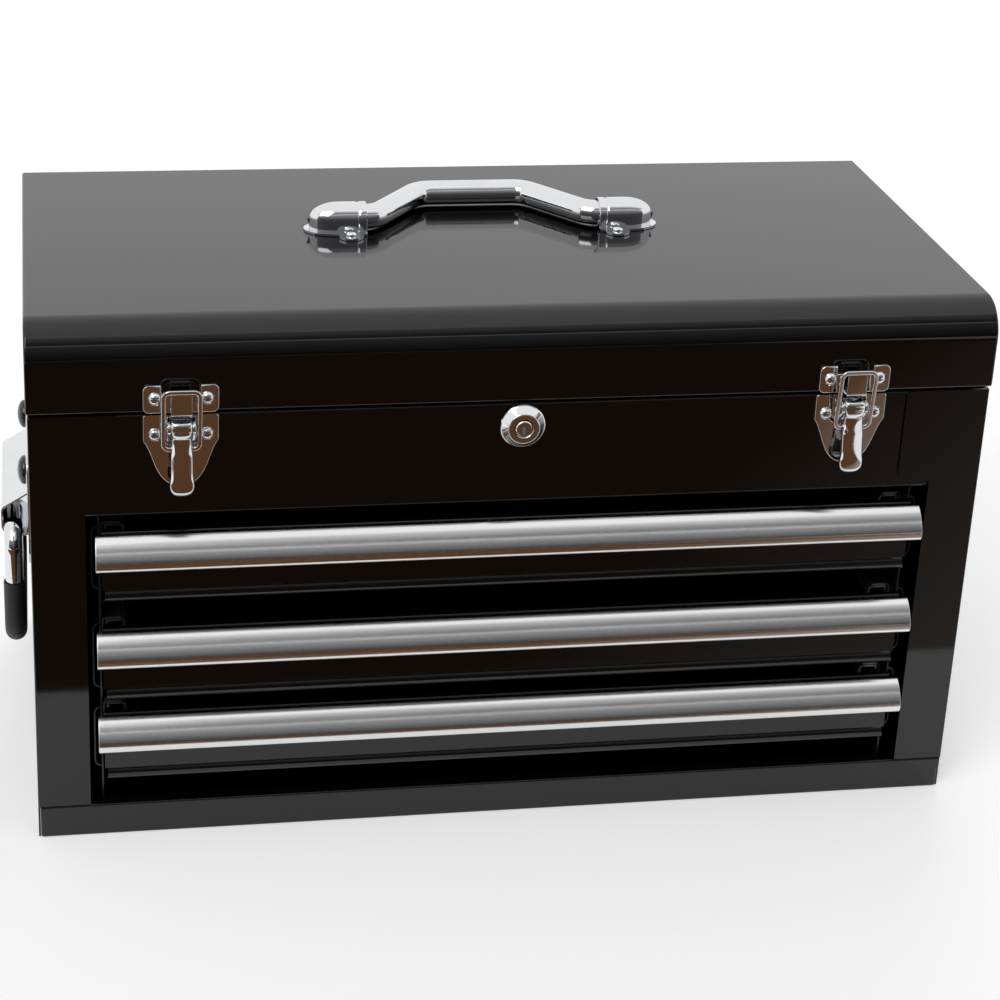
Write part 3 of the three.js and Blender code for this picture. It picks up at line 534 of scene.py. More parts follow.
def swingRoughness(group, start, end, noise):
    # the group's roughness, moved up by its spread where the noise is high
    swing = addNode(group, "Math", operation="MULTIPLY_ADD")
    wire(
        group,
        (noise, "Fac", swing, 0),
        (start, "Spread", swing, 1),
        (start, "Roughness", swing, 2),
        (swing, 0, end, "Roughness"),
    )


def makePaintSkin():
    # the fine waves and specks of a sprayed skin
    group, start, end = newGroup(
        "paintSkin",
        [
            ("Wave Size", "NodeSocketFloat", 260),
            ("Speck Size", "NodeSocketFloat", 900),
            ("Roughness", "NodeSocketFloat", 0.1),
            ("Spread", "NodeSocketFloat", 0.04),
        ],
        ["Height", "Roughness", "Dust"],
    )
    place = addNode(group, "TexCoord")
    wave = addNode(group, "TexNoise", {"Detail": skinSettings["waveDetail"]})
    speck = addNode(group, "TexNoise", {"Detail": skinSettings["speckDetail"]})
    broad = addNode(
        group,
        "TexNoise",
        {"Scale": skinSettings["broadScale"], "Detail": skinSettings["broadDetail"]},
    )
    low, high = skinSettings["dust"]
    dust = addNode(group, "MapRange", {"From Min": low, "From Max": high})
    for noise in (wave, speck, broad):
        wire(group, (place, "Object", noise, "Vector"))
    wire(
        group,
        (start, "Wave Size", wave, "Scale"),
        (start, "Speck Size", speck, "Scale"),
        (wave, "Fac", end, "Height"),
        (speck, "Fac", dust, "Value"),
        (dust, "Result", end, "Dust"),
    )
    swingRoughness(group, start, end, broad)
    return group


def makeGrain():
    # streaks that run one way over the metal
    group, start, end = newGroup(
        "metalGrain",
        [
            ("Stretch", "NodeSocketVector", (1, 1, 1)),
            ("Size", "NodeSocketFloat", 400),
            ("Roughness", "NodeSocketFloat", 0.2),
            ("Spread", "NodeSocketFloat", 0.1),
        ],
        ["Height", "Roughness"],
    )
    place = addNode(group, "TexCoord")
    stretch = addNode(group, "VectorMath", operation="MULTIPLY")
    streak = addNode(
        group,
        "TexNoise",
        {"Detail": grainSettings["detail"], "Roughness": grainSettings["fineness"]},
    )
    wire(
        group,
        (place, "Object", stretch, 0),
        (start, "Stretch", stretch, 1),
        (stretch, 0, streak, "Vector"),
        (start, "Size", streak, "Scale"),
        (streak, "Fac", end, "Height"),
    )
    swingRoughness(group, start, end, streak)
    return group


paintSkin = makePaintSkin()
metalGrain = makeGrain()


def newFinish(name, group, values, mixOutlet, first, last, shaderValues, bump):
    # a material whose colour, roughness and bump come from one group
    material, tree = nodeTree(name)
    skin = addNode(tree, "Group", values, node_tree=group)
    mix = addNode(tree, "Mix", {"A": (*first, 1), "B": (*last, 1)}, data_type="RGBA")
    shader = addNode(tree, "BsdfPrincipled", shaderValues)
    relief = addNode(tree, "Bump", {"Strength": bump, "Distance": bumpDistance})
    output = addNode(tree, "OutputMaterial")
    wire(
        tree,
        (skin, mixOutlet, mix, "Factor"),
        (mix, "Result", shader, "Base Color"),
        (skin, "Roughness", shader, "Roughness"),
        (skin, "Height", relief, "Height"),
        (relief, "Normal", shader, "Normal"),
        (shader, 0, output, "Surface"),
    )
    return material


def makePaint(name, colour, dustColour, waveSize, roughness, bump, coat):
    shaderValues = {
        "IOR": skinSettings["ior"],
        "Coat Weight": coat,
        "Coat Roughness": skinSettings["coatRoughness"],
    }
    values = {"Wave Size": waveSize, "Roughness": roughness}
    return newFinish(name, paintSkin, values, "Dust", colour, dustColour, shaderValues, bump)


def makeMetal(name, colour, stretch, size, roughness, spread, bump):
    values = {"Stretch": stretch, "Size": size, "Roughness": roughness, "Spread": spread}
    shade = [grainSettings["shade"] * c for c in colour]
    return newFinish(name, metalGrain, values, "Height", shade, colour, {"Metallic": 1}, bump)


finishes = {
    "black_paint": makePaint(
        "glossBlack", (0.0016, 0.0016, 0.0016), (0.006, 0.006, 0.006), 420, 0.05, 0.1, 0.1
    ),
    "inner_paint": makePaint(
        "innerBlack", (0.008, 0.008, 0.008), (0.015, 0.015, 0.015), 500, 0.25, 0.3, 0
    ),
    "chrome": makeMetal("chromePlate", (0.80, 0.81, 0.83), (1, 1, 1), 60, 0.035, 0.05, 0.02),
    "pull_metal": makeMetal("brightPull", (0.86, 0.86, 0.86), (0.012, 1, 1), 900, 0.13, 0.12, 0.12),
    # zinc made darker than its own colour: painted shade for the slide ends seen in the gaps between the
    # drawers, and it darkens every zinc part
    "zinc": makeMetal("zincPlate", (0.36, 0.35, 0.31), (1, 1, 1), 300, 0.3, 0.25, 0.25),
    "vinyl": makePaint("dippedVinyl", (0.010, 0.010, 0.0105), (0.02, 0.02, 0.02), 700, 0.5, 0.6, 0),
    "black_bolt": makePaint(
        "blackBolt", (0.006, 0.0055, 0.005), (0.02, 0.02, 0.02), 300, 0.16, 0.15, 0.3
    ),
}
slotOf = {row["node"]: row["material_slot"] for row in frame["record"]["subparts"]}
for name, slotName in slotOf.items():
    node = frame["nodes"][name]
    node.data.materials.clear()
    node.data.materials.append(finishes[slotName])
print("finishes are made")


# Places and outlines

def middleOf(node):
    low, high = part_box(node)
    return (low + high) / 2


def bezierPoints(a, b, c, d, steps=14):
    line = []
    for i in range(steps + 1):
        t = i / steps
        u = 1 - t
        line.append(a * u ** 3 + b * 3 * u * u * t + c * 3 * u * t * t + d * t ** 3)
    return line


def roundedOutline(corners, steps=6):
    # a closed outline from (a, b, radius) corners
    points = []
    for i, (a, b, radius) in enumerate(corners):
        here = Vector((a, b))
        before = (Vector(corners[i - 1][:2]) - here).normalized()
        after = (Vector(corners[(i + 1) % len(corners)][:2]) - here).normalized()
        if radius == 0:
            points.append(here)
            continue
        half = before.angle(after) / 2
        start = here + before * radius / math.tan(half)
        end = here + after * radius / math.tan(half)
        centre = here + (before + after).normalized() * radius / math.sin(half)
        for k in range(steps + 1):
            way = (start - centre).normalized().slerp((end - centre).normalized(), k / steps)
            points.append(centre + way * radius)
    return points


def roundedSquare(left, right, foot, top, radius):
    corners = [(left, foot), (right, foot), (right, top), (left, top)]
    return roundedOutline([(*corner, radius) for corner in corners], 8)


def inPlane(points, x=None, y=None, z=None):
    # flat points stood in the plane of the one coordinate that is given
    if x is not None:
        return [Vector((x, a, b)) for a, b in points]
    if y is not None:
        return [Vector((a, y, b)) for a, b in points]
    return [Vector((a, b, z)) for a, b in points]


# Lid

lidSizes = {"roll": 20, "rollSteps": 28, "fold": 1.4, "wall": 1, "flange": 6, "edge": 0.2}


def makeLid():
    low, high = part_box("lid_shell")
    lid = addBlock(low, high)
    pickParts(lid, "EDGE", lambda a, b: max(a.y, b.y) < low.y + mm and min(a.z, b.z) > high.z - mm)
    bpy.ops.mesh.bevel(offset=lidSizes["roll"] * mm, segments=lidSizes["rollSteps"], affect="EDGES")
    pickParts(lid, "FACE", lambda centre, normal: normal.z < -0.9)
    bpy.ops.mesh.inset(thickness=lidSizes["flange"] * mm)
    bpy.ops.mesh.delete(type="FACE")
    objectMode()
    addBevel(lid, lidSizes["fold"] * mm, 4)
    addWall(lid, lidSizes["wall"] * mm, -1)
    breakEdges(lid, lidSizes["edge"] * mm, 1)
    return finishPiece(lid, "lid_shell", "lid", "black_paint")


# Case wrap: back, sides, stiles, and the tabs over the header

caseSizes = {
    "stile": 28, "tab": 46, "tabRise": 3.7, "tabFootRound": 8, "tabTopRound": 3, "cornerFold": 1,
    "fold": 1.4, "wall": 1, "rim": 8, "skirtGap": 0.3, "skirtCut": 1.5, "edge": 0.4,
}


def cutAcross(obj, place, normal):
    makeActive(obj)
    editMode()
    selectAll()
    bpy.ops.mesh.bisect(plane_co=place, plane_no=normal)
    objectMode()


def dropFaces(obj, test):
    pickParts(obj, "FACE", test)
    bpy.ops.mesh.delete(type="FACE")
    objectMode()


def roundCorners(obj, test, radius, steps=8):
    pickParts(obj, "VERT", test)
    bpy.ops.mesh.bevel(offset=radius, segments=steps, affect="VERTICES")
    objectMode()


def foldEdges(obj, test, radius, steps=5):
    pickParts(obj, "EDGE", test)
    bpy.ops.mesh.bevel(offset=radius, segments=steps, affect="EDGES")
    objectMode()


def makeCase():
    low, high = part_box("case_shell")
    stileEdge = high.x - caseSizes["stile"] * mm
    tabEdge = high.x - caseSizes["tab"] * mm
    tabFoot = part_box("header_panel")[0].z + caseSizes["tabRise"] * mm
    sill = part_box("bottom_pan")[1].z + caseSizes["skirtGap"] * mm
    rim = caseSizes["rim"] * mm
    shell = addBlock(low, high)
    dropFaces(shell, lambda centre, normal: normal.z < -0.9)
    pickParts(shell, "FACE", lambda centre, normal: normal.z > 0.9)
    bpy.ops.mesh.inset(thickness=rim)
    bpy.ops.mesh.delete(type="FACE")
    for x in (-stileEdge, -tabEdge, tabEdge, stileEdge):
        cutAcross(shell, (x, 0, 0), (1, 0, 0))
    skirtCut = caseSizes["skirtCut"] * mm
    for z in (sill - skirtCut, sill, tabFoot):
        cutAcross(shell, (0, 0, z), (0, 0, 1))

    def opening(centre, normal):
        if normal.z > 0.9:
            return centre.y < low.y + rim
        if centre.y > low.y + near:
            return False
        across = abs(centre.x)
        return centre.z < sill or across < tabEdge or (across < stileEdge and centre.z < tabFoot)

    dropFaces(shell, opening)
    front = low.y + near
    pickParts(shell, "VERT", lambda co: co.y < front and co.z < sill - skirtCut / 2)
    bpy.ops.transform.translate(value=(0, skirtCut, 0))
    objectMode()

    def atTab(co, height):
        return co.y < front and abs(abs(co.x) - tabEdge) < near and abs(co.z - height) < near

    roundCorners(shell, lambda co: atTab(co, tabFoot), caseSizes["tabFootRound"] * mm)
    roundCorners(shell, lambda co: atTab(co, high.z), caseSizes["tabTopRound"] * mm)

    def upright(a, b):
        atCorner = min(abs(a.x), abs(b.x)) > high.x - near and min(abs(a.y), abs(b.y)) > high.y - near
        return atCorner and abs(a.z - b.z) > mm and (a.y > 0 or min(a.z, b.z) > sill - near)

    foldEdges(shell, upright, caseSizes["cornerFold"] * mm)
    addBevel(shell, caseSizes["fold"] * mm, 4)
    addWall(shell, caseSizes["wall"] * mm, -1)
    breakEdges(shell, caseSizes["edge"] * mm, 2)
    return finishPiece(shell, "case_shell", "case", "black_paint")


# Header between the tabs

headerSizes = {"wall": 1, "fold": 1.4, "flange": 8, "rimGap": 9.6, "lockHole": 9.7}


def cutHole(obj, place, radius, turn, depth=6 * mm):
    deselectAll()
    bpy.ops.mesh.primitive_cylinder_add(
        vertices=64, radius=radius, depth=depth, location=place, rotation=turn
    )
    cutBy(obj, bpy.context.active_object)


def cutBy(obj, cutter, operation="DIFFERENCE"):
    cut = obj.modifiers.new("Cut", "BOOLEAN")
    cut.operation = operation
    cut.solver = "EXACT"
    cut.object = cutter
    applyModifiers(obj)
    bpy.data.objects.remove(cutter)


def makeHeader():
    low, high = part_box("header_panel")
    half = headerSizes["wall"] / 2 * mm
    face = low.y + half
    foot = low.z + half
    top = high.z - half
    rim = high.x - headerSizes["rimGap"] * mm
    panel = traceLine(inPlane([(high.y, foot), (face, foot), (face, top)], x=low.x))
    selectAll()
    extrudeBy(high.x - low.x)
    for x in (-rim, rim):
        cutAcross(panel, (x, 0, 0), (1, 0, 0))
    pickParts(
        panel, "EDGE", lambda a, b: min(a.z, b.z) > top - near and max(abs(a.x), abs(b.x)) < rim + near
    )
    extrudeBy(y=headerSizes["flange"] * mm)
    faceOutwards()
    addBevel(panel, headerSizes["fold"] * mm, 4)
    addWall(panel, headerSizes["wall"] * mm)
    applyModifiers(panel)
    lock = middleOf("lock_housing")
    cutHole(panel, (lock.x, face, lock.z), headerSizes["lockHole"] * mm, depthTurn)
    return finishPiece(panel, "header_panel", "case", "black_paint")


# Bottom pan with the skirt under the drawers

panSizes = {"pan": 12, "skirtLip": 8, "wall": 1, "fold": 1.3, "edge": 0.25}


def makePan():
    low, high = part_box("bottom_pan")
    wall = panSizes["wall"] * mm
    pan = addBlock(low, Vector((high.x, high.y, low.z + panSizes["pan"] * mm)))
    dropFaces(pan, lambda centre, normal: normal.z > 0.9)
    pickParts(pan, "EDGE", lambda a, b: max(a.y, b.y) < low.y + mm and min(a.z, b.z) > low.z + mm)
    extrudeBy(z=high.z - low.z - panSizes["pan"] * mm)
    extrudeBy(y=panSizes["skirtLip"] * mm)
    objectMode()
    addBevel(pan, panSizes["fold"] * mm, 4)
    addWall(pan, wall, -1)
    breakEdges(pan, panSizes["edge"] * mm, 2)
    return finishPiece(pan, "bottom_pan", "case", "black_paint")


# Drawers

drawerSizes = {
    "wall": 0.9, "topFlange": 3, "beadHeight": 7, "beadReach": 2.6, "beadInset": 1.5,
    "boxGap": 12.5, "boxRaise": 3, "boxDrop": 8, "fold": 1.4, "corner": 3, "edge": 0.2,
}


def makeDrawer(node, body):
    low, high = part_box(node)
    wall, reach = lengths(drawerSizes, "wall", "beadReach")
    half = drawerSizes["beadHeight"] / 2 * mm
    face = low.y + reach + wall / 2
    rim = high.z - wall / 2
    bead = arcPoints(face, low.z + half, reach - wall / 2, half - wall / 2, 90, 268, 14)
    profile = [(face + drawerSizes["topFlange"] * mm, rim), (face, rim), *bead]
    front = pulledLine(inPlane(profile, x=low.x), high.x - low.x)
    pickParts(front, "VERT", lambda co: co.y < face - near)
    share = 1 - 2 * drawerSizes["beadInset"] * mm / (high.x - low.x)
    bpy.ops.transform.resize(value=(share, 1, 1), center_override=(0, 0, 0))
    objectMode()
    fold = drawerSizes["fold"] * mm
    foldEdges(front, lambda a, b: min(a.z, b.z) > high.z - wall and max(a.y, b.y) < face + near, fold)
    addWall(front, wall)
    applyModifiers(front)
    boxWide = high.x - drawerSizes["boxGap"] * mm
    box = addBlock(
        (-boxWide, face + wall / 2, low.z + drawerSizes["boxRaise"] * mm),
        (boxWide, high.y, high.z - drawerSizes["boxDrop"] * mm),
    )
    dropFaces(box, lambda centre, normal: normal.z > 0.9)
    foldEdges(box, lambda a, b: abs(a.z - b.z) > mm, drawerSizes["corner"] * mm)
    addBevel(box, fold, 3)
    addWall(box, wall, -1)
    breakEdges(box, drawerSizes["edge"] * mm, 1)
    joinPieces(front, box)
    return finishPiece(front, node, body, "black_paint")


# Pulls

pullSizes = {
    "wall": 1.6, "topFlat": 1.6, "backHeight": 8, "lowFlat": 3.6, "browPull": 3.2, "cheekPull": 4.2,
    "curl": 2.4, "fold": 1.1, "steps": 26, "edge": 0.4,
}


def makePull(node):
    low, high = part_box(node)
    half = pullSizes["wall"] / 2 * mm
    rear = high.y - half
    front = low.y + half
    top = high.z - half
    foot = low.z + half
    brow = rear - pullSizes["topFlat"] * mm
    cheek = foot + pullSizes["lowFlat"] * mm
    curl = pullSizes["curl"] * mm
    nose = bezierPoints(
        Vector((brow, top)),
        Vector((brow - pullSizes["browPull"] * mm, top)),
        Vector((front, cheek + pullSizes["cheekPull"] * mm)),
        Vector((front, cheek)),
        pullSizes["steps"],
    )
    toe = arcPoints(front + curl, foot + curl, curl, curl, 180, 262, 8)
    profile = [(rear, top - pullSizes["backHeight"] * mm), (rear, top), *nose, *toe]
    pull = pulledLine(inPlane(profile, x=low.x), high.x - low.x)
    fold = pullSizes["fold"] * mm
    foldEdges(pull, lambda a, b: min(a.z, b.z) > top - near and min(a.y, b.y) > rear - near, fold)
    addWall(pull, pullSizes["wall"] * mm)
    breakEdges(pull, pullSizes["edge"] * mm)
    return pull


def makePulls():
    first = makePull("drawer_pull_top")
    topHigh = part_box("drawer_pull_top")[1].z
    for name in ("middle", "bottom"):
        node = "drawer_pull_" + name
        pull = copyOf(first)
        pull.location.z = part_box(node)[1].z - topHigh
        finishPiece(pull, node, name + "_drawer", "pull_metal", 35)
    finishPiece(first, "drawer_pull_top", "top_drawer", "pull_metal", 35)


makeLid()
makeCase()
makeHeader()
makePan()
print("lid, case, header and pan are modelled")
for name in ("top", "middle", "bottom"):
    makeDrawer("drawer_" + name, name + "_drawer")
makePulls()
print("drawers and pulls are modelled")


# Latches: each piece is modelled for the right side and copied to the left

latchSizes = {
    "plateWall": 1.2, "corner": 3, "notchHalf": 9.9, "notchDepth": 4.6, "notchRim": 0.8,
    "notchPocket": 0.6, "topRoll": 1.15, "edge": 0.55, "hookHalf": 5.4, "hookHeight": 15.2,
    "hookBend": 2.4, "hookRoll": 1.3, "hookCorner": 2.4, "straight": 14.5,
    "shieldShares": (0.70, 0.72, 0.28), "rivetSpread": 13.3, "rivetRadius": 3.6, "rivetHeight": 2,
    "strikeHeight": 15.2, "strikeRivetRise": 7.9, "baseRivetDrop": 10.8, "pivotDrop": 5.7,
    "pivotReach": 4.4, "earHalf": 5.6, "earWall": 1.6, "earRise": 4.8, "earDrop": 9, "earNose": 3.4,
    "barDrop": 11.5, "loopRise": 33.2, "loopHalf": 10.4, "loopBand": 2.3, "loopWall": 2.2,
    "loopCorner": 4.4, "loopLean": 6.9, "bore": 1.65, "sideRise": 3.1, "sideDrop": 14.6,
    "sidePlace": 4.3, "sideRear": 1.9, "sideReach": 3.4, "sideStep": 0.3, "leverWall": 1.15,
    "earEdge": 0.35, "loopEdge": 0.65,
}
leverStations = [
    # drop below the pivot, reach in front of it, half width
    (-3.2, 1.2, 4.6),
    (-3.6, 2.3, 4.9),
    (-2.9, 3.2, 5.0),
    (-1.6, 3.5, 5.1),
    (0.3, 3.5, 5.1),
    (1.0, 3.7, 4.9),
    (1.6, 3.9, 4.7),
    (3.3, 3.4, 4.5),
    (4.5, 2.5, 4.5),
    (5.4, 2.2, 4.5),
    (11.2, 3.05, 4.7),
    (13.2, 3.35, 5.1),
    (14.3, 3.5, 5.2),
    (18.6, 4.15, 5.2),
    (23.7, 4.95, 5.2),
    (27.3, 5.45, 5.6),
    (29.8, 5.7, 6.0),
    (32.2, 5.7, 5.8),
    (34.0, 5.3, 4.8),
    (35.2, 4.5, 3.5),
    (35.8, 3.6, 2.0),
]
leverSection = [(-5, 2.0), (-5, 1.3), (-4.6, 0.45), (-3.8, 0.05), (-2.4, -0.2), (-0.9, -0.32)]

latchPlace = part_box("latch_base_right")
latchX = (latchPlace[0].x + latchPlace[1].x) / 2
latchHalf = (latchPlace[1].x - latchPlace[0].x) / 2
baseFront = latchPlace[1].y - latchSizes["plateWall"] * mm
baseTop = latchPlace[1].z
pivotReach, pivotDrop = lengths(latchSizes, "pivotReach", "pivotDrop")
pivot = Vector((latchX, baseFront - pivotReach, baseTop - pivotDrop))


def cutSheet(outline, front, rear):
    # a plate facing the front, from (x, z) points
    return cutPlate(inPlane(outline, y=front), (0, rear - front, 0))


def rivetHead(place):
    radius, height = lengths(latchSizes, "rivetRadius", "rivetHeight")
    rim = 0.35 * mm
    crown = arcPoints(0, -rim, radius - 2 * rim, height - rim, 90, 12, 9)
    line = [(a, -b - 2 * rim) for a, b in crown]
    line += [(radius - rim, -rim * 0.6), (radius - rim * 0.3, -rim), (radius, -rim * 0.3), (radius, 0)]
    points = [place + Vector((a, b, 0)) for a, b in line]
    return turnProfile(points, place, (0, 1, 0), 40)


def rivetPair(y, z):
    spread = latchSizes["rivetSpread"] * mm
    return [rivetHead(Vector((latchX + side * spread, y, z))) for side in (-1, 1)]


def rollTop(plate, top, front, radius):
    # the corners' own first edges lie just below the top, and stay as they are
    slack = near / 2
    foldEdges(plate, lambda a, b: min(a.z, b.z) > top - slack and max(a.y, b.y) < front + slack, radius)


def makeStrike():
    low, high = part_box("latch_strike_right")
    wall, corner, notch = lengths(latchSizes, "plateWall", "corner", "notchHalf")
    floor = high.z - latchSizes["notchDepth"] * mm
    rim, pocket = lengths(latchSizes, "notchRim", "notchPocket")
    rear = high.y
    front = rear - wall
    plateFoot = high.z - latchSizes["strikeHeight"] * mm
    outline = roundedOutline(
        [
            (latchX - latchHalf, plateFoot, corner),
            (latchX + latchHalf, plateFoot, corner),
            (latchX + latchHalf, high.z, corner),
            (latchX + notch, high.z, rim),
            (latchX + notch, floor, pocket),
            (latchX - notch, floor, pocket),
            (latchX - notch, high.z, rim),
            (latchX - latchHalf, high.z, corner),
        ]
    )
    plate = cutSheet(outline, front, rear)
    rollTop(plate, high.z, front, latchSizes["topRoll"] * mm)
    breakEdges(plate, latchSizes["edge"] * mm, clamped=False)
    bend = latchSizes["hookBend"] * mm
    line = front + wall / 2
    face = line - 2 * bend
    foot = low.z + wall / 2 + bend
    roll = latchSizes["hookRoll"] * mm
    top = foot - bend - wall / 2 + latchSizes["hookHeight"] * mm
    profile = [(line, foot + 3 * mm)]
    profile += arcPoints(line - bend, foot, bend, bend, 0, -180, 12)
    profile += arcPoints(face + roll, top - roll, roll, roll, 180, 95, 6)
    half = latchSizes["hookHalf"] * mm
    hook = pulledLine(inPlane(profile, x=latchX - half), 2 * half)
    addWall(hook, wall)
    applyModifiers(hook)
    hookCorner = latchSizes["hookCorner"] * mm
    window = roundedOutline(
        [
            (latchX - half, low.z, hookCorner),
            (latchX + half, low.z, hookCorner),
            (latchX + half, high.z, hookCorner / 3),
            (latchX - half, high.z, hookCorner / 3),
        ],
        8,
    )
    cutBy(hook, cutSheet(window, face - 2 * wall, rear + wall), "INTERSECT")
    breakEdges(hook, latchSizes["edge"] * mm, clamped=False)
    rivetZ = plateFoot + latchSizes["strikeRivetRise"] * mm
    return joinPieces(plate, hook, *rivetPair(front, rivetZ))


def makeBase():
    low, high = latchPlace
    waist = high.z - latchSizes["straight"] * mm
    sideShare, footShare, riseShare = latchSizes["shieldShares"]
    dip = waist - (waist - low.z) * riseShare
    right = bezierPoints(
        Vector((latchX + latchHalf, waist)),
        Vector((latchX + latchHalf * sideShare, dip)),
        Vector((latchX + latchHalf * footShare, low.z)),
        Vector((latchX, low.z)),
    )
    left = [Vector((2 * latchX - p.x, p.y)) for p in reversed(right)]
    corner = latchSizes["corner"] * mm
    top = roundedOutline(
        [(latchX - latchHalf, waist, 0), (latchX - latchHalf, high.z, corner / 2),
         (latchX + latchHalf, high.z, corner / 2), (latchX + latchHalf, waist, 0)]
    )
    plate = cutSheet([*top, *right[1:], *left[1:-1]], baseFront, high.y)
    rollTop(plate, high.z, baseFront, latchSizes["topRoll"] * mm)
    breakEdges(plate, latchSizes["edge"] * mm, clamped=False)
    nose, rise, fall = lengths(latchSizes, "earNose", "earRise", "earDrop")
    ears = []
    for side in (-1, 1):
        x = latchX + side * latchSizes["earHalf"] * mm
        inside = baseFront + 0.2 * mm
        tip = arcPoints(pivot.y, pivot.z, nose, nose, 115, 250, 12)
        outline = [(inside, pivot.z + rise), *tip, (inside, pivot.z - fall)]
        ear = cutPlate(inPlane(outline, x=x), (side * latchSizes["earWall"] * mm, 0, 0))
        breakEdges(ear, latchSizes["earEdge"] * mm)
        ears.append(ear)
    return joinPieces(plate, *ears, *rivetPair(baseFront, high.z - latchSizes["baseRivetDrop"] * mm))


def makeLoop():
    half, band, wall, corner = lengths(latchSizes, "loopHalf", "loopBand", "loopWall", "loopCorner")
    foot = -band / 2
    top = latchSizes["loopRise"] * mm + band / 2
    loop = cutSheet(roundedSquare(-half, half, foot, top, corner), -wall / 2, wall / 2)
    pickParts(loop, "FACE", lambda centre, normal: abs(normal.y) > 0.9)
    bpy.ops.mesh.inset(thickness=band)
    bpy.ops.mesh.bridge_edge_loops()
    objectMode()
    breakEdges(loop, latchSizes["loopEdge"] * mm, 4)
    loop.rotation_euler.x = math.radians(latchSizes["loopLean"])
    loop.location = pivot - Vector((0, 0, latchSizes["barDrop"] * mm))
    return loop


def leverFront(z):
    # how far the lever's line stands in front of the pivot at a height
    drop = (pivot.z - z) / mm
    for before, after in zip(leverStations, leverStations[1:]):
        if before[0] <= drop <= after[0]:
            share = (drop - before[0]) / (after[0] - before[0])
            return (before[1] + (after[1] - before[1]) * share) * mm
    return leverStations[0][1] * mm


def isLeverWall(a, b):
    # an edge along either side of the lever's upper part, at its rear rim
    rise, drop, side, rear = lengths(latchSizes, "sideRise", "sideDrop", "sidePlace", "sideRear")
    upright = abs(a.z - b.z) > latchSizes["sideStep"] * mm
    inBand = max(a.z, b.z) < pivot.z + rise and min(a.z, b.z) > pivot.z - drop
    atSide = min(abs(a.x - latchX), abs(b.x - latchX)) > side
    atRear = all(p.y > pivot.y - leverFront(p.z) + rear for p in (a, b))
    return inBand and atSide and atRear and upright


def makeLever():
    start = leverStations[0]
    section = leverSection + [(-a, b) for a, b in reversed(leverSection)]
    width = -leverSection[0][0]
    places = [pivot - Vector((0, row[1], row[0])) * mm for row in leverStations]
    lever = traceLine([places[0] + Vector((a * start[2] / width, b, 0)) * mm for a, b in section])
    selectAll()
    for i in range(1, len(places)):
        extrudeBy(*(places[i] - places[i - 1]))
        share = leverStations[i][2] / leverStations[i - 1][2]
        bpy.ops.transform.resize(value=(share, 1, 1), center_override=places[i])
    bpy.ops.mesh.edge_collapse()
    faceOutwards()
    pickParts(lever, "EDGE", isLeverWall)
    extrudeBy(y=latchSizes["sideReach"] * mm)
    objectMode()
    smooth = lever.modifiers.new("Smooth", "SUBSURF")
    smooth.levels = smooth.render_levels = 2
    addWall(lever, latchSizes["leverWall"] * mm)
    applyModifiers(lever)
    for drop in (0, latchSizes["barDrop"] * mm):
        cutHole(lever, pivot - Vector((0, 0, drop)), latchSizes["bore"] * mm, acrossTurn, 14 * mm)
    return lever


def makePin(node):
    low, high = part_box(node)
    radius = (high.z - low.z) / 2
    centre = (low + high) / 2
    end = 0.3 * mm
    line = [(low.x, 0), (low.x, radius - end), (low.x + end, radius), (high.x - end, radius),
            (high.x, radius - end), (high.x, 0)]
    return turnProfile([Vector((a, centre.y, centre.z + b)) for a, b in line], centre, (1, 0, 0), 24)


def placeLatches():
    makers = [
        ("strike", makeStrike, "lid"),
        ("base", makeBase, "case"),
        ("loop", makeLoop, "{}_latch_loop"),
        ("lever", makeLever, "{}_latch_lever"),
    ]
    for part, make, body in makers:
        right = make()
        left = copyOf(right)
        left.location.x -= 2 * latchX
        finishPair(left, right, "latch_" + part + "_{}", body, "chrome", 38)
    finishPair(makePin("latch_pin_left"), makePin("latch_pin_right"), "latch_pin_{}", "case", "chrome")


# Lock

lockSizes = {
    "bezelFace": 8.6, "bezelRadius": 12, "bezelRoll": 0.8, "reach": 5, "barrel": 9.4, "bore": 4.8,
    "plug": 4.4, "plugTail": 2.6, "plugDish": 1.2, "plugEdge": 0.4, "keyWide": 1.5, "keyTall": 6.2,
    "keyDeep": 5,
}


def makeLock():
    low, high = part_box("lock_housing")
    centre = (low + high) / 2
    face = low.y
    seatY = face + lockSizes["reach"] * mm
    outer, inner, bore, barrel = lengths(lockSizes, "bezelRadius", "bezelFace", "bore", "barrel")
    roll = lockSizes["bezelRoll"] * mm
    rim = inner - roll
    line = [(bore, high.y), (bore, face + 0.7 * mm), (bore + 0.4 * mm, face + 0.3 * mm)]
    line += [(rim, face + 0.1 * mm), *arcPoints(rim, face + roll, roll, -roll, 80, 20, 4)]
    line += [(outer - roll, seatY - 1 * mm), (outer - 0.1 * mm, seatY - 0.6 * mm), (outer, seatY)]
    line += [(barrel, seatY), (barrel, high.y), (bore, high.y)]
    housing = turnProfile([Vector((centre.x + a, b, centre.z)) for a, b in line], centre, (0, 1, 0), 72)
    finishPiece(housing, "lock_housing", "case", "chrome", 35)
    plugLow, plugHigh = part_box("lock_plug")
    radius, tail, dish, edge = lengths(lockSizes, "plug", "plugTail", "plugDish", "plugEdge")
    face, back = plugLow.y, plugHigh.y
    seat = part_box("lock_cam")[0].y - 0.3 * mm
    line = [(0, face + edge / 2), (radius - dish, face + edge / 2), (radius - edge, face)]
    line += [(radius, face + edge), (radius, seat), (tail, seat), (tail, back), (0, back)]
    plug = turnProfile([Vector((centre.x + a, b, centre.z)) for a, b in line], centre, (0, 1, 0), 48)
    wide, tall, deep = lengths(lockSizes, "keyWide", "keyTall", "keyDeep")
    slot = addBlock(
        (centre.x - wide / 2, plugLow.y - mm, centre.z - tall / 2),
        (centre.x + wide / 2, plugLow.y + deep, centre.z + tall / 2),
    )
    cutBy(plug, slot)
    finishPiece(plug, "lock_plug", "lock_barrel", "chrome")


# Top handle

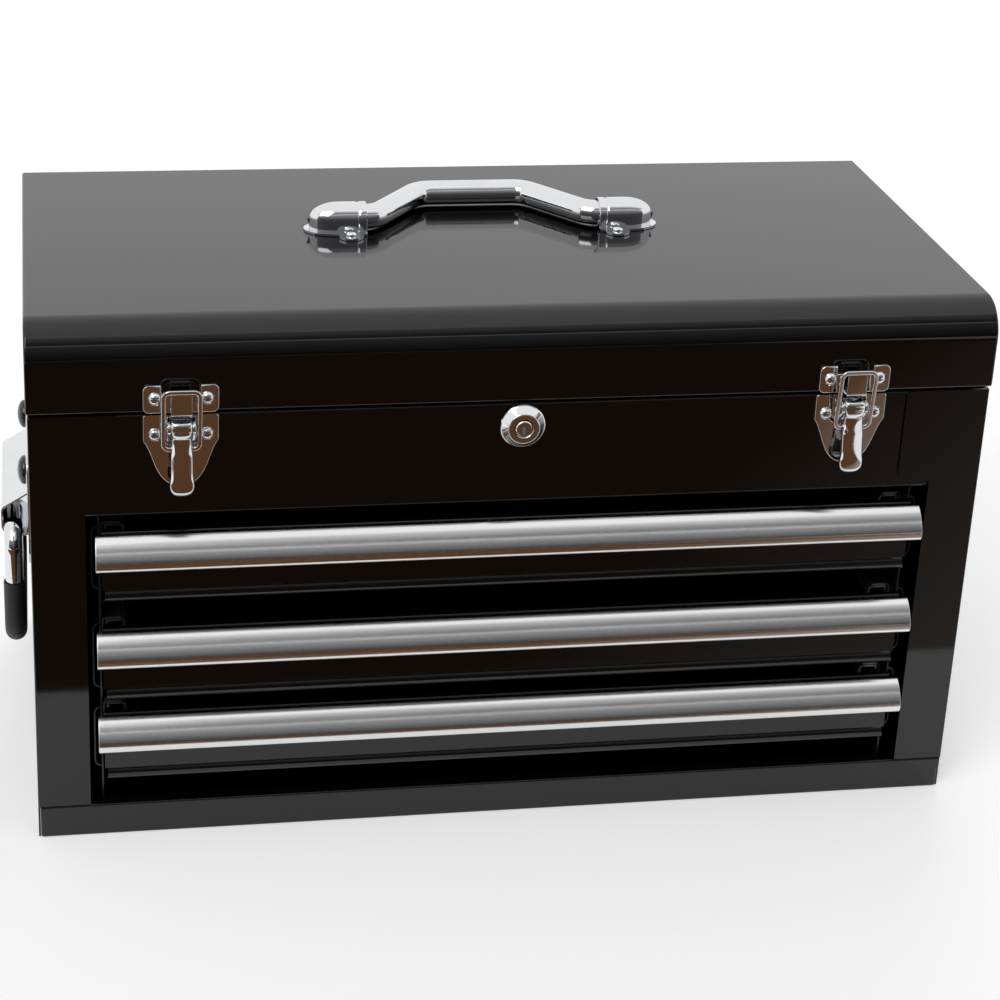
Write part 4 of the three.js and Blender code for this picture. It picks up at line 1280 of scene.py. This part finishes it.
handleSizes = {
    "tube": 7, "legStart": 61, "legEnd": 30.5, "reach": 39.5, "bend": 14, "capMouth": 66,
    "capWall": 1.3, "capOuter": 8.7, "collar": 4, "groove": 0.7, "lip": 3.2, "dome": 16,
    "earPlace": (75.4, 13), "earRadius": 7, "edge": 0.45, "rivetHead": 1.8, "rivetShank": 2,
    "rivetTail": 1.6, "rivetEdge": 0.5, "capEdge": 0.3,
}


def makeTopHandle():
    low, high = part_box("top_handle_tube")
    radius, start, end, reach = lengths(handleSizes, "tube", "legStart", "legEnd", "reach")
    base = low.y + radius
    bar = base + reach
    line = [(low.x, base), (-start, base), (-end, bar), (end, bar), (start, base), (high.x, base)]
    corners = inPlane(line, z=(low.z + high.z) / 2)
    tube = bentTube(roundedCorners(corners, handleSizes["bend"] * mm, 14), radius, 10)
    finishPiece(tube, "top_handle_tube", "top_handle", "chrome", 40)


def makeCap():
    low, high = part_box("top_handle_cap_right")
    centre = Vector((0, (low.y + high.y) / 2, middleOf("top_handle_tube").z))
    outer, wall, mouth, groove = lengths(handleSizes, "capOuter", "capWall", "capMouth", "groove")
    collar = mouth + handleSizes["collar"] * mm
    dome, edge = lengths(handleSizes, "dome", "capEdge")
    domeX = high.x - handleSizes["lip"] * mm - dome
    profile = [
        (mouth, outer - edge),
        (mouth + edge, outer),
        (collar - edge, outer),
        (collar + groove, outer - groove),
        (collar + 2 * groove + edge, outer),
        *arcPoints(domeX, 0, dome, outer, 90, 0, 20),
    ]
    hood = turnProfile([centre + Vector((a, -b, 0)) for a, b in profile], centre, (1, 0, 0), 64)
    makeActive(hood)
    editMode()
    selectAll()
    bpy.ops.mesh.bisect(plane_co=centre, plane_no=(0, 0, 1), clear_inner=True)
    objectMode()
    pickParts(hood, "EDGE", lambda a, b: max(a.z, b.z) < centre.z + 0.02 * mm)
    extrudeBy(z=low.z + wall / 2 - centre.z)
    faceOutwards()
    addWall(hood, wall, -1, False)
    applyModifiers(hood)
    earX, earY = [value * mm for value in handleSizes["earPlace"]]
    ear = handleSizes["earRadius"] * mm
    lip = outer + handleSizes["lip"] * mm
    y = centre.y
    front = [(mouth, y - lip), *arcPoints(earX, y - earY, ear, ear, 171, 369, 24), (domeX, y - lip)]
    rear = [(a, 2 * y - b) for a, b in reversed(front)]
    outline = [*front, *arcPoints(domeX, y, high.x - domeX, lip, -85, 85, 24), *rear]
    plate = cutPlate(inPlane(outline, z=low.z), (0, 0, wall))
    breakEdges(plate, handleSizes["edge"] * mm)
    return joinPieces(hood, plate)


def makeCapRivet(node):
    low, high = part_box(node)
    centre = middleOf(node)
    radius = (high.x - low.x) / 2
    head = high.z - handleSizes["rivetHead"] * mm
    shank, tail, edge = lengths(handleSizes, "rivetShank", "rivetTail", "rivetEdge")
    crown = arcPoints(0, head + 0.3 * mm, radius, high.z - head - 0.3 * mm, 90, 0, 10)
    line = [*crown, (radius, head), (shank, head), (shank, low.z + tail), (radius, low.z + tail),
            (radius, low.z + edge), (radius - edge, low.z), (0, low.z)]
    return turnProfile([Vector((centre.x + a, centre.y, b)) for a, b in line], centre, (0, 0, 1), 40)


def placeCaps():
    right = makeCap()
    finishPair(mirroredCopy(right), right, "top_handle_cap_{}", "lid", "chrome", 35)
    firstNode = "top_handle_rivet_left_front"
    first = makeCapRivet(firstNode)
    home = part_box(firstNode)[0]
    for place in ("left_rear", "right_front", "right_rear"):
        node = "top_handle_rivet_" + place
        rivet = copyOf(first)
        rivet.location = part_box(node)[0] - home
        finishPiece(rivet, node, "lid", "chrome", 35)
    finishPiece(first, firstNode, "lid", "chrome", 35)


# Side handles, modelled for the left side

sideSizes = {
    "setback": -9.75, "height": 152.5, "reach": 9.5, "tube": 5, "half": 52.5, "drop": 63,
    "bend": 11, "hoodHalf": 43, "hoodWall": 1.2, "hoodTop": 19, "shoulder": 8, "hoodCorner": 4,
    "plateCorner": 9.5, "gripRadius": 6, "gripTop": 28.5, "gripWall": 0.55, "gripEdge": 0.2,
    "edge": 0.35, "plate": 1.3, "boltHole": 3.4, "boltRadius": 8, "boltShank": 3, "nutRadius": 6,
    "boltCrown": 3.8, "boltRim": 0.8, "nutEdge": 0.4, "bailEnds": 23,
}


def makeBracket():
    low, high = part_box("side_handle_bracket_left")
    wall, corner = lengths(sideSizes, "plate", "plateCorner")
    outline = roundedSquare(low.y, high.y, low.z, high.z, corner)
    plate = cutPlate(inPlane(outline, x=high.x), (-wall, 0, 0))
    for end in ("front", "rear"):
        bolt = middleOf("side_handle_bolt_left_" + end)
        cutHole(plate, (high.x, bolt.y, bolt.z), sideSizes["boltHole"] * mm, acrossTurn)
    breakEdges(plate, sideSizes["edge"] * mm)
    half = sideSizes["hoodWall"] / 2 * mm
    axisX = high.x + 0.3 * mm - sideSizes["reach"] * mm
    axisZ = sideSizes["height"] * mm
    outerX = low.x + half
    wrap = axisX - outerX
    corner = sideSizes["hoodCorner"] * mm
    profile = [
        (high.x - wall / 2, axisZ + sideSizes["hoodTop"] * mm),
        *arcPoints(outerX + corner, axisZ + sideSizes["shoulder"] * mm, corner, corner, 115, 180, 8),
        *arcPoints(axisX, axisZ, wrap, wrap, 180, 262, 12),
        (high.x - wall / 2, axisZ - wrap),
    ]
    setback, hoodHalf = lengths(sideSizes, "setback", "hoodHalf")
    hood = pulledLine(inPlane(profile, y=setback - hoodHalf), y=2 * hoodHalf)
    addWall(hood, sideSizes["hoodWall"] * mm)
    breakEdges(hood, sideSizes["edge"] * mm)
    return joinPieces(plate, hood)


def handleLine(top, inner):
    # the bail's line: its ends inside the hood, or its legs up to a height
    axisX = middleOf("side_handle_bail_left").x
    axisZ, middle, half = lengths(sideSizes, "height", "setback", "half")
    foot = axisZ - sideSizes["drop"] * mm
    legs = [(-half, axisZ + top), (-half, foot), (half, foot), (half, axisZ + top)]
    if inner:
        legs = [(-inner, axisZ), *legs, (inner, axisZ)]
    corners = [Vector((axisX, middle + a, b)) for a, b in legs]
    return roundedCorners(corners, sideSizes["bend"] * mm, 12)


def makeBail():
    return bentTube(handleLine(0, sideSizes["bailEnds"] * mm), sideSizes["tube"] * mm, 8)


def makeGrip():
    line = handleLine(-sideSizes["gripTop"] * mm, 0)
    grip = bentTube(line, sideSizes["gripRadius"] * mm, 8, False)
    addWall(grip, sideSizes["gripWall"] * mm, -1)
    breakEdges(grip, sideSizes["gripEdge"] * mm, 2, 60)
    return grip


def makeBolt(node):
    low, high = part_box(node)
    centre = middleOf(node)
    radius, shank, nutRadius = lengths(sideSizes, "boltRadius", "boltShank", "nutRadius")
    crown, rim, edge = lengths(sideSizes, "boltCrown", "boltRim", "nutEdge")
    head = low.x + crown + rim
    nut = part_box("case_shell")[0].x + sideSizes["plate"] * mm
    dome = arcPoints(head - rim, 0, -crown, radius, 0, 90, 12)
    line = [*dome, (head - edge, radius), (head, radius - 0.3 * mm), (head, shank), (nut, shank)]
    line += [(nut, nutRadius), (high.x - edge, nutRadius), (high.x, nutRadius - edge), (high.x, 0)]
    return turnProfile([Vector((a, centre.y, centre.z + b)) for a, b in line], centre, (1, 0, 0), 40)


def placeSideHandles():
    for part, make, slotName, body in (
        ("bracket", makeBracket, "chrome", "case"),
        ("bail", makeBail, "chrome", "{}_side_handle"),
        ("grip", makeGrip, "vinyl", "{}_side_handle"),
    ):
        left = make()
        finishPair(left, mirroredCopy(left), "side_handle_" + part + "_{}", body, slotName, 40)
    for end in ("front", "rear"):
        node = "side_handle_bolt_{}_" + end
        left = makeBolt(node.format("left"))
        finishPair(left, mirroredCopy(left), node, "case", "black_bolt", 35)


placeLatches()
print("latches are modelled")
makeLock()
makeTopHandle()
placeCaps()
print("lock and top handle are modelled")
placeSideHandles()
print("side handles are modelled")


# Slides: each channel is modelled once and copied to its other places

slideSizes = {"wall": 1, "fold": 1.6, "lip": 2.2, "hole": 2.2, "holePlaces": (22, 108, 196)}


def foldWeb(sheet, web, radius):
    # rounds the two long folds at the web of a channel
    foldEdges(sheet, lambda a, b: abs(a.y - b.y) > mm and abs(a.x - web) < near, radius)


def makeChannel(node, outward):
    # a folded channel whose flanges turn a lip over the balls
    low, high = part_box(node)
    half = slideSizes["wall"] / 2 * mm
    lip = slideSizes["lip"] * mm
    web, reach = (high.x - half, low.x + half) if outward else (low.x + half, high.x - half)
    top, foot = high.z - half, low.z + half
    profile = [(reach, top - lip), (reach, top), (web, top)]
    profile += [(web, foot), (reach, foot), (reach, foot + lip)]
    channel = pulledLine(inPlane(profile, y=low.y), y=high.y - low.y)
    foldWeb(channel, web, slideSizes["fold"] * mm)
    addWall(channel, slideSizes["wall"] * mm)
    applyModifiers(channel)
    for place in slideSizes["holePlaces"]:
        spot = Vector((web, low.y + place * mm, (low.z + high.z) / 2))
        cutHole(channel, spot, slideSizes["hole"] * mm, acrossTurn)
    return channel


def placeSlides():
    for kind, outward in (("case", True), ("drawer", False)):
        row = kind + "_slide_{}_"
        first = makeChannel(row.format("top") + "right", outward)
        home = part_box(row.format("top") + "right")[0].z
        for name in ("middle", "bottom", "top"):
            node = row.format(name) + "{}"
            right = first if name == "top" else copyOf(first)
            right.location.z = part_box(node.format("right"))[0].z - home
            body = "case" if kind == "case" else name + "_drawer"
            finishPair(mirroredCopy(right), right, node, body, "zinc")


# Uprights that carry the slides, and the tray under the lid

innerSizes = {
    "wall": 1.2, "bend": 5, "trayFold": 1.6, "guideX": 223, "guideDepth": 8, "guideTurn": 3.5,
    "guideFoot": 4, "guideWall": 0.8, "edge": 0.3, "trayEdge": 0.2,
}


def makeFrame():
    low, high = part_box("slide_frame_right")
    half = innerSizes["wall"] / 2 * mm
    web = low.x + half
    top, foot = high.z - half, low.z + half
    profile = [(high.x, top), (web, top), (web, foot), (high.x, foot)]
    upright = pulledLine(inPlane(profile, y=low.y), y=high.y - low.y)
    foldWeb(upright, web, innerSizes["bend"] * mm)
    addWall(upright, innerSizes["wall"] * mm)
    breakEdges(upright, innerSizes["edge"] * mm, 2)
    return joinPieces(upright, *[makeGuide("drawer_" + name) for name in ("top", "middle", "bottom")])


def makeGuide(node):
    # a folded strip on the upright that lines up the drawer's end
    low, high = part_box(node)
    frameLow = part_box("slide_frame_right")[0]
    turn, x = lengths(innerSizes, "guideTurn", "guideX")
    foot = low.z + innerSizes["guideFoot"] * mm
    upper = [(x - turn + a, high.z - turn + b) for a, b in arcPoints(0, 0, turn, turn, 90, 0, 5)]
    lower = [(x - turn + a, foot + turn + b) for a, b in arcPoints(0, 0, turn, turn, 0, -90, 5)]
    guide = pulledLine(inPlane(upper + lower, y=frameLow.y), y=innerSizes["guideDepth"] * mm)
    addWall(guide, innerSizes["guideWall"] * mm)
    applyModifiers(guide)
    return guide


def placeInside():
    right = makeFrame()
    finishPair(mirroredCopy(right), right, "slide_frame_{}", "case", "inner_paint")
    low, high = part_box("compartment_floor")
    tray = addBlock(low, high)
    dropFaces(tray, lambda centre, normal: normal.z > 0.9)
    addBevel(tray, innerSizes["trayFold"] * mm, 4)
    addWall(tray, innerSizes["wall"] * mm, -1)
    breakEdges(tray, innerSizes["trayEdge"] * mm, 1)
    finishPiece(tray, "compartment_floor", "case", "inner_paint")


# Rear hinge: one knuckle is modelled and copied along both leaves

hingeSizes = {
    "sheet": 1, "knuckles": 9, "gap": 0.6, "relief": 0.4, "edge": 0.25,
    "screws": (-200, -100, 0, 100, 200), "screwHole": 2,
}


def makeKnuckle(pinLow, pinHigh, radius):
    length = (pinHigh.x - pinLow.x) / hingeSizes["knuckles"] - hingeSizes["gap"] * mm
    centre = (pinLow + pinHigh) / 2
    bore = (pinHigh.z - pinLow.z) / 2 + 0.02 * mm
    edge = hingeSizes["edge"] * mm
    start = pinLow.x + hingeSizes["gap"] / 2 * mm
    end = start + length
    line = [(start, bore), (start, radius - edge), (start + edge, radius), (end - edge, radius)]
    line += [(end, radius - edge), (end, bore), (start, bore)]
    points = [Vector((a, centre.y, centre.z + b)) for a, b in line]
    return turnProfile(points, centre, (1, 0, 0), 32)


def makeLeaf(node, knuckle, radius, first):
    low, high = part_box(node)
    pinLow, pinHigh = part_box("hinge_pin")
    axisZ = (pinLow.z + pinHigh.z) / 2
    sheet = hingeSizes["sheet"] * mm
    relief = radius + hingeSizes["relief"] * mm
    span = (axisZ + relief, high.z) if first else (low.z, axisZ - relief)
    leaf = addBlock((pinLow.x, low.y, span[0]), (pinHigh.x, low.y + sheet, span[1]))
    middle = (span[0] + span[1]) / 2
    for place in hingeSizes["screws"]:
        cutHole(leaf, (place * mm, low.y, middle), hingeSizes["screwHole"] * mm, depthTurn)
    pitch = (pinHigh.x - pinLow.x) / hingeSizes["knuckles"]
    gap = hingeSizes["gap"] / 2 * mm
    parts = []
    for i in range(first, hingeSizes["knuckles"], 2):
        ring = copyOf(knuckle)
        ring.location.x = i * pitch
        start = pinLow.x + i * pitch
        reach = (axisZ + radius / 2, span[0] + sheet) if first else (span[1] - sheet, axisZ - radius / 2)
        tab = addBlock((start + gap, low.y, reach[0]), (start + pitch - gap, low.y + sheet, reach[1]))
        parts += [ring, tab]
    joinPieces(leaf, *parts)
    breakEdges(leaf, hingeSizes["edge"] / 2 * mm, 2, 60)
    return leaf


def placeHinge():
    pinLow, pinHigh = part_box("hinge_pin")
    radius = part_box("hinge_lid_leaf")[1].y - (pinLow.y + pinHigh.y) / 2
    knuckle = makeKnuckle(pinLow, pinHigh, radius)
    for first, node, body in ((0, "hinge_case_leaf", "case"), (1, "hinge_lid_leaf", "lid")):
        finishPiece(makeLeaf(node, knuckle, radius, first), node, body, slotOf[node], 35)
    bpy.data.objects.remove(knuckle)
    finishPiece(makePin("hinge_pin"), "hinge_pin", "case", "zinc")


placeSlides()
print("slides are modelled")
placeInside()
placeHinge()
print("uprights, tray and hinge are modelled")
for node, body in (("lock_nut", "case"), ("lock_cam", "lock_barrel"), ("lock_keeper", "lid")):
    finishPiece(softenedNode(node, 0.2 * mm), node, body, "zinc")
print("inner lock pieces are softened")
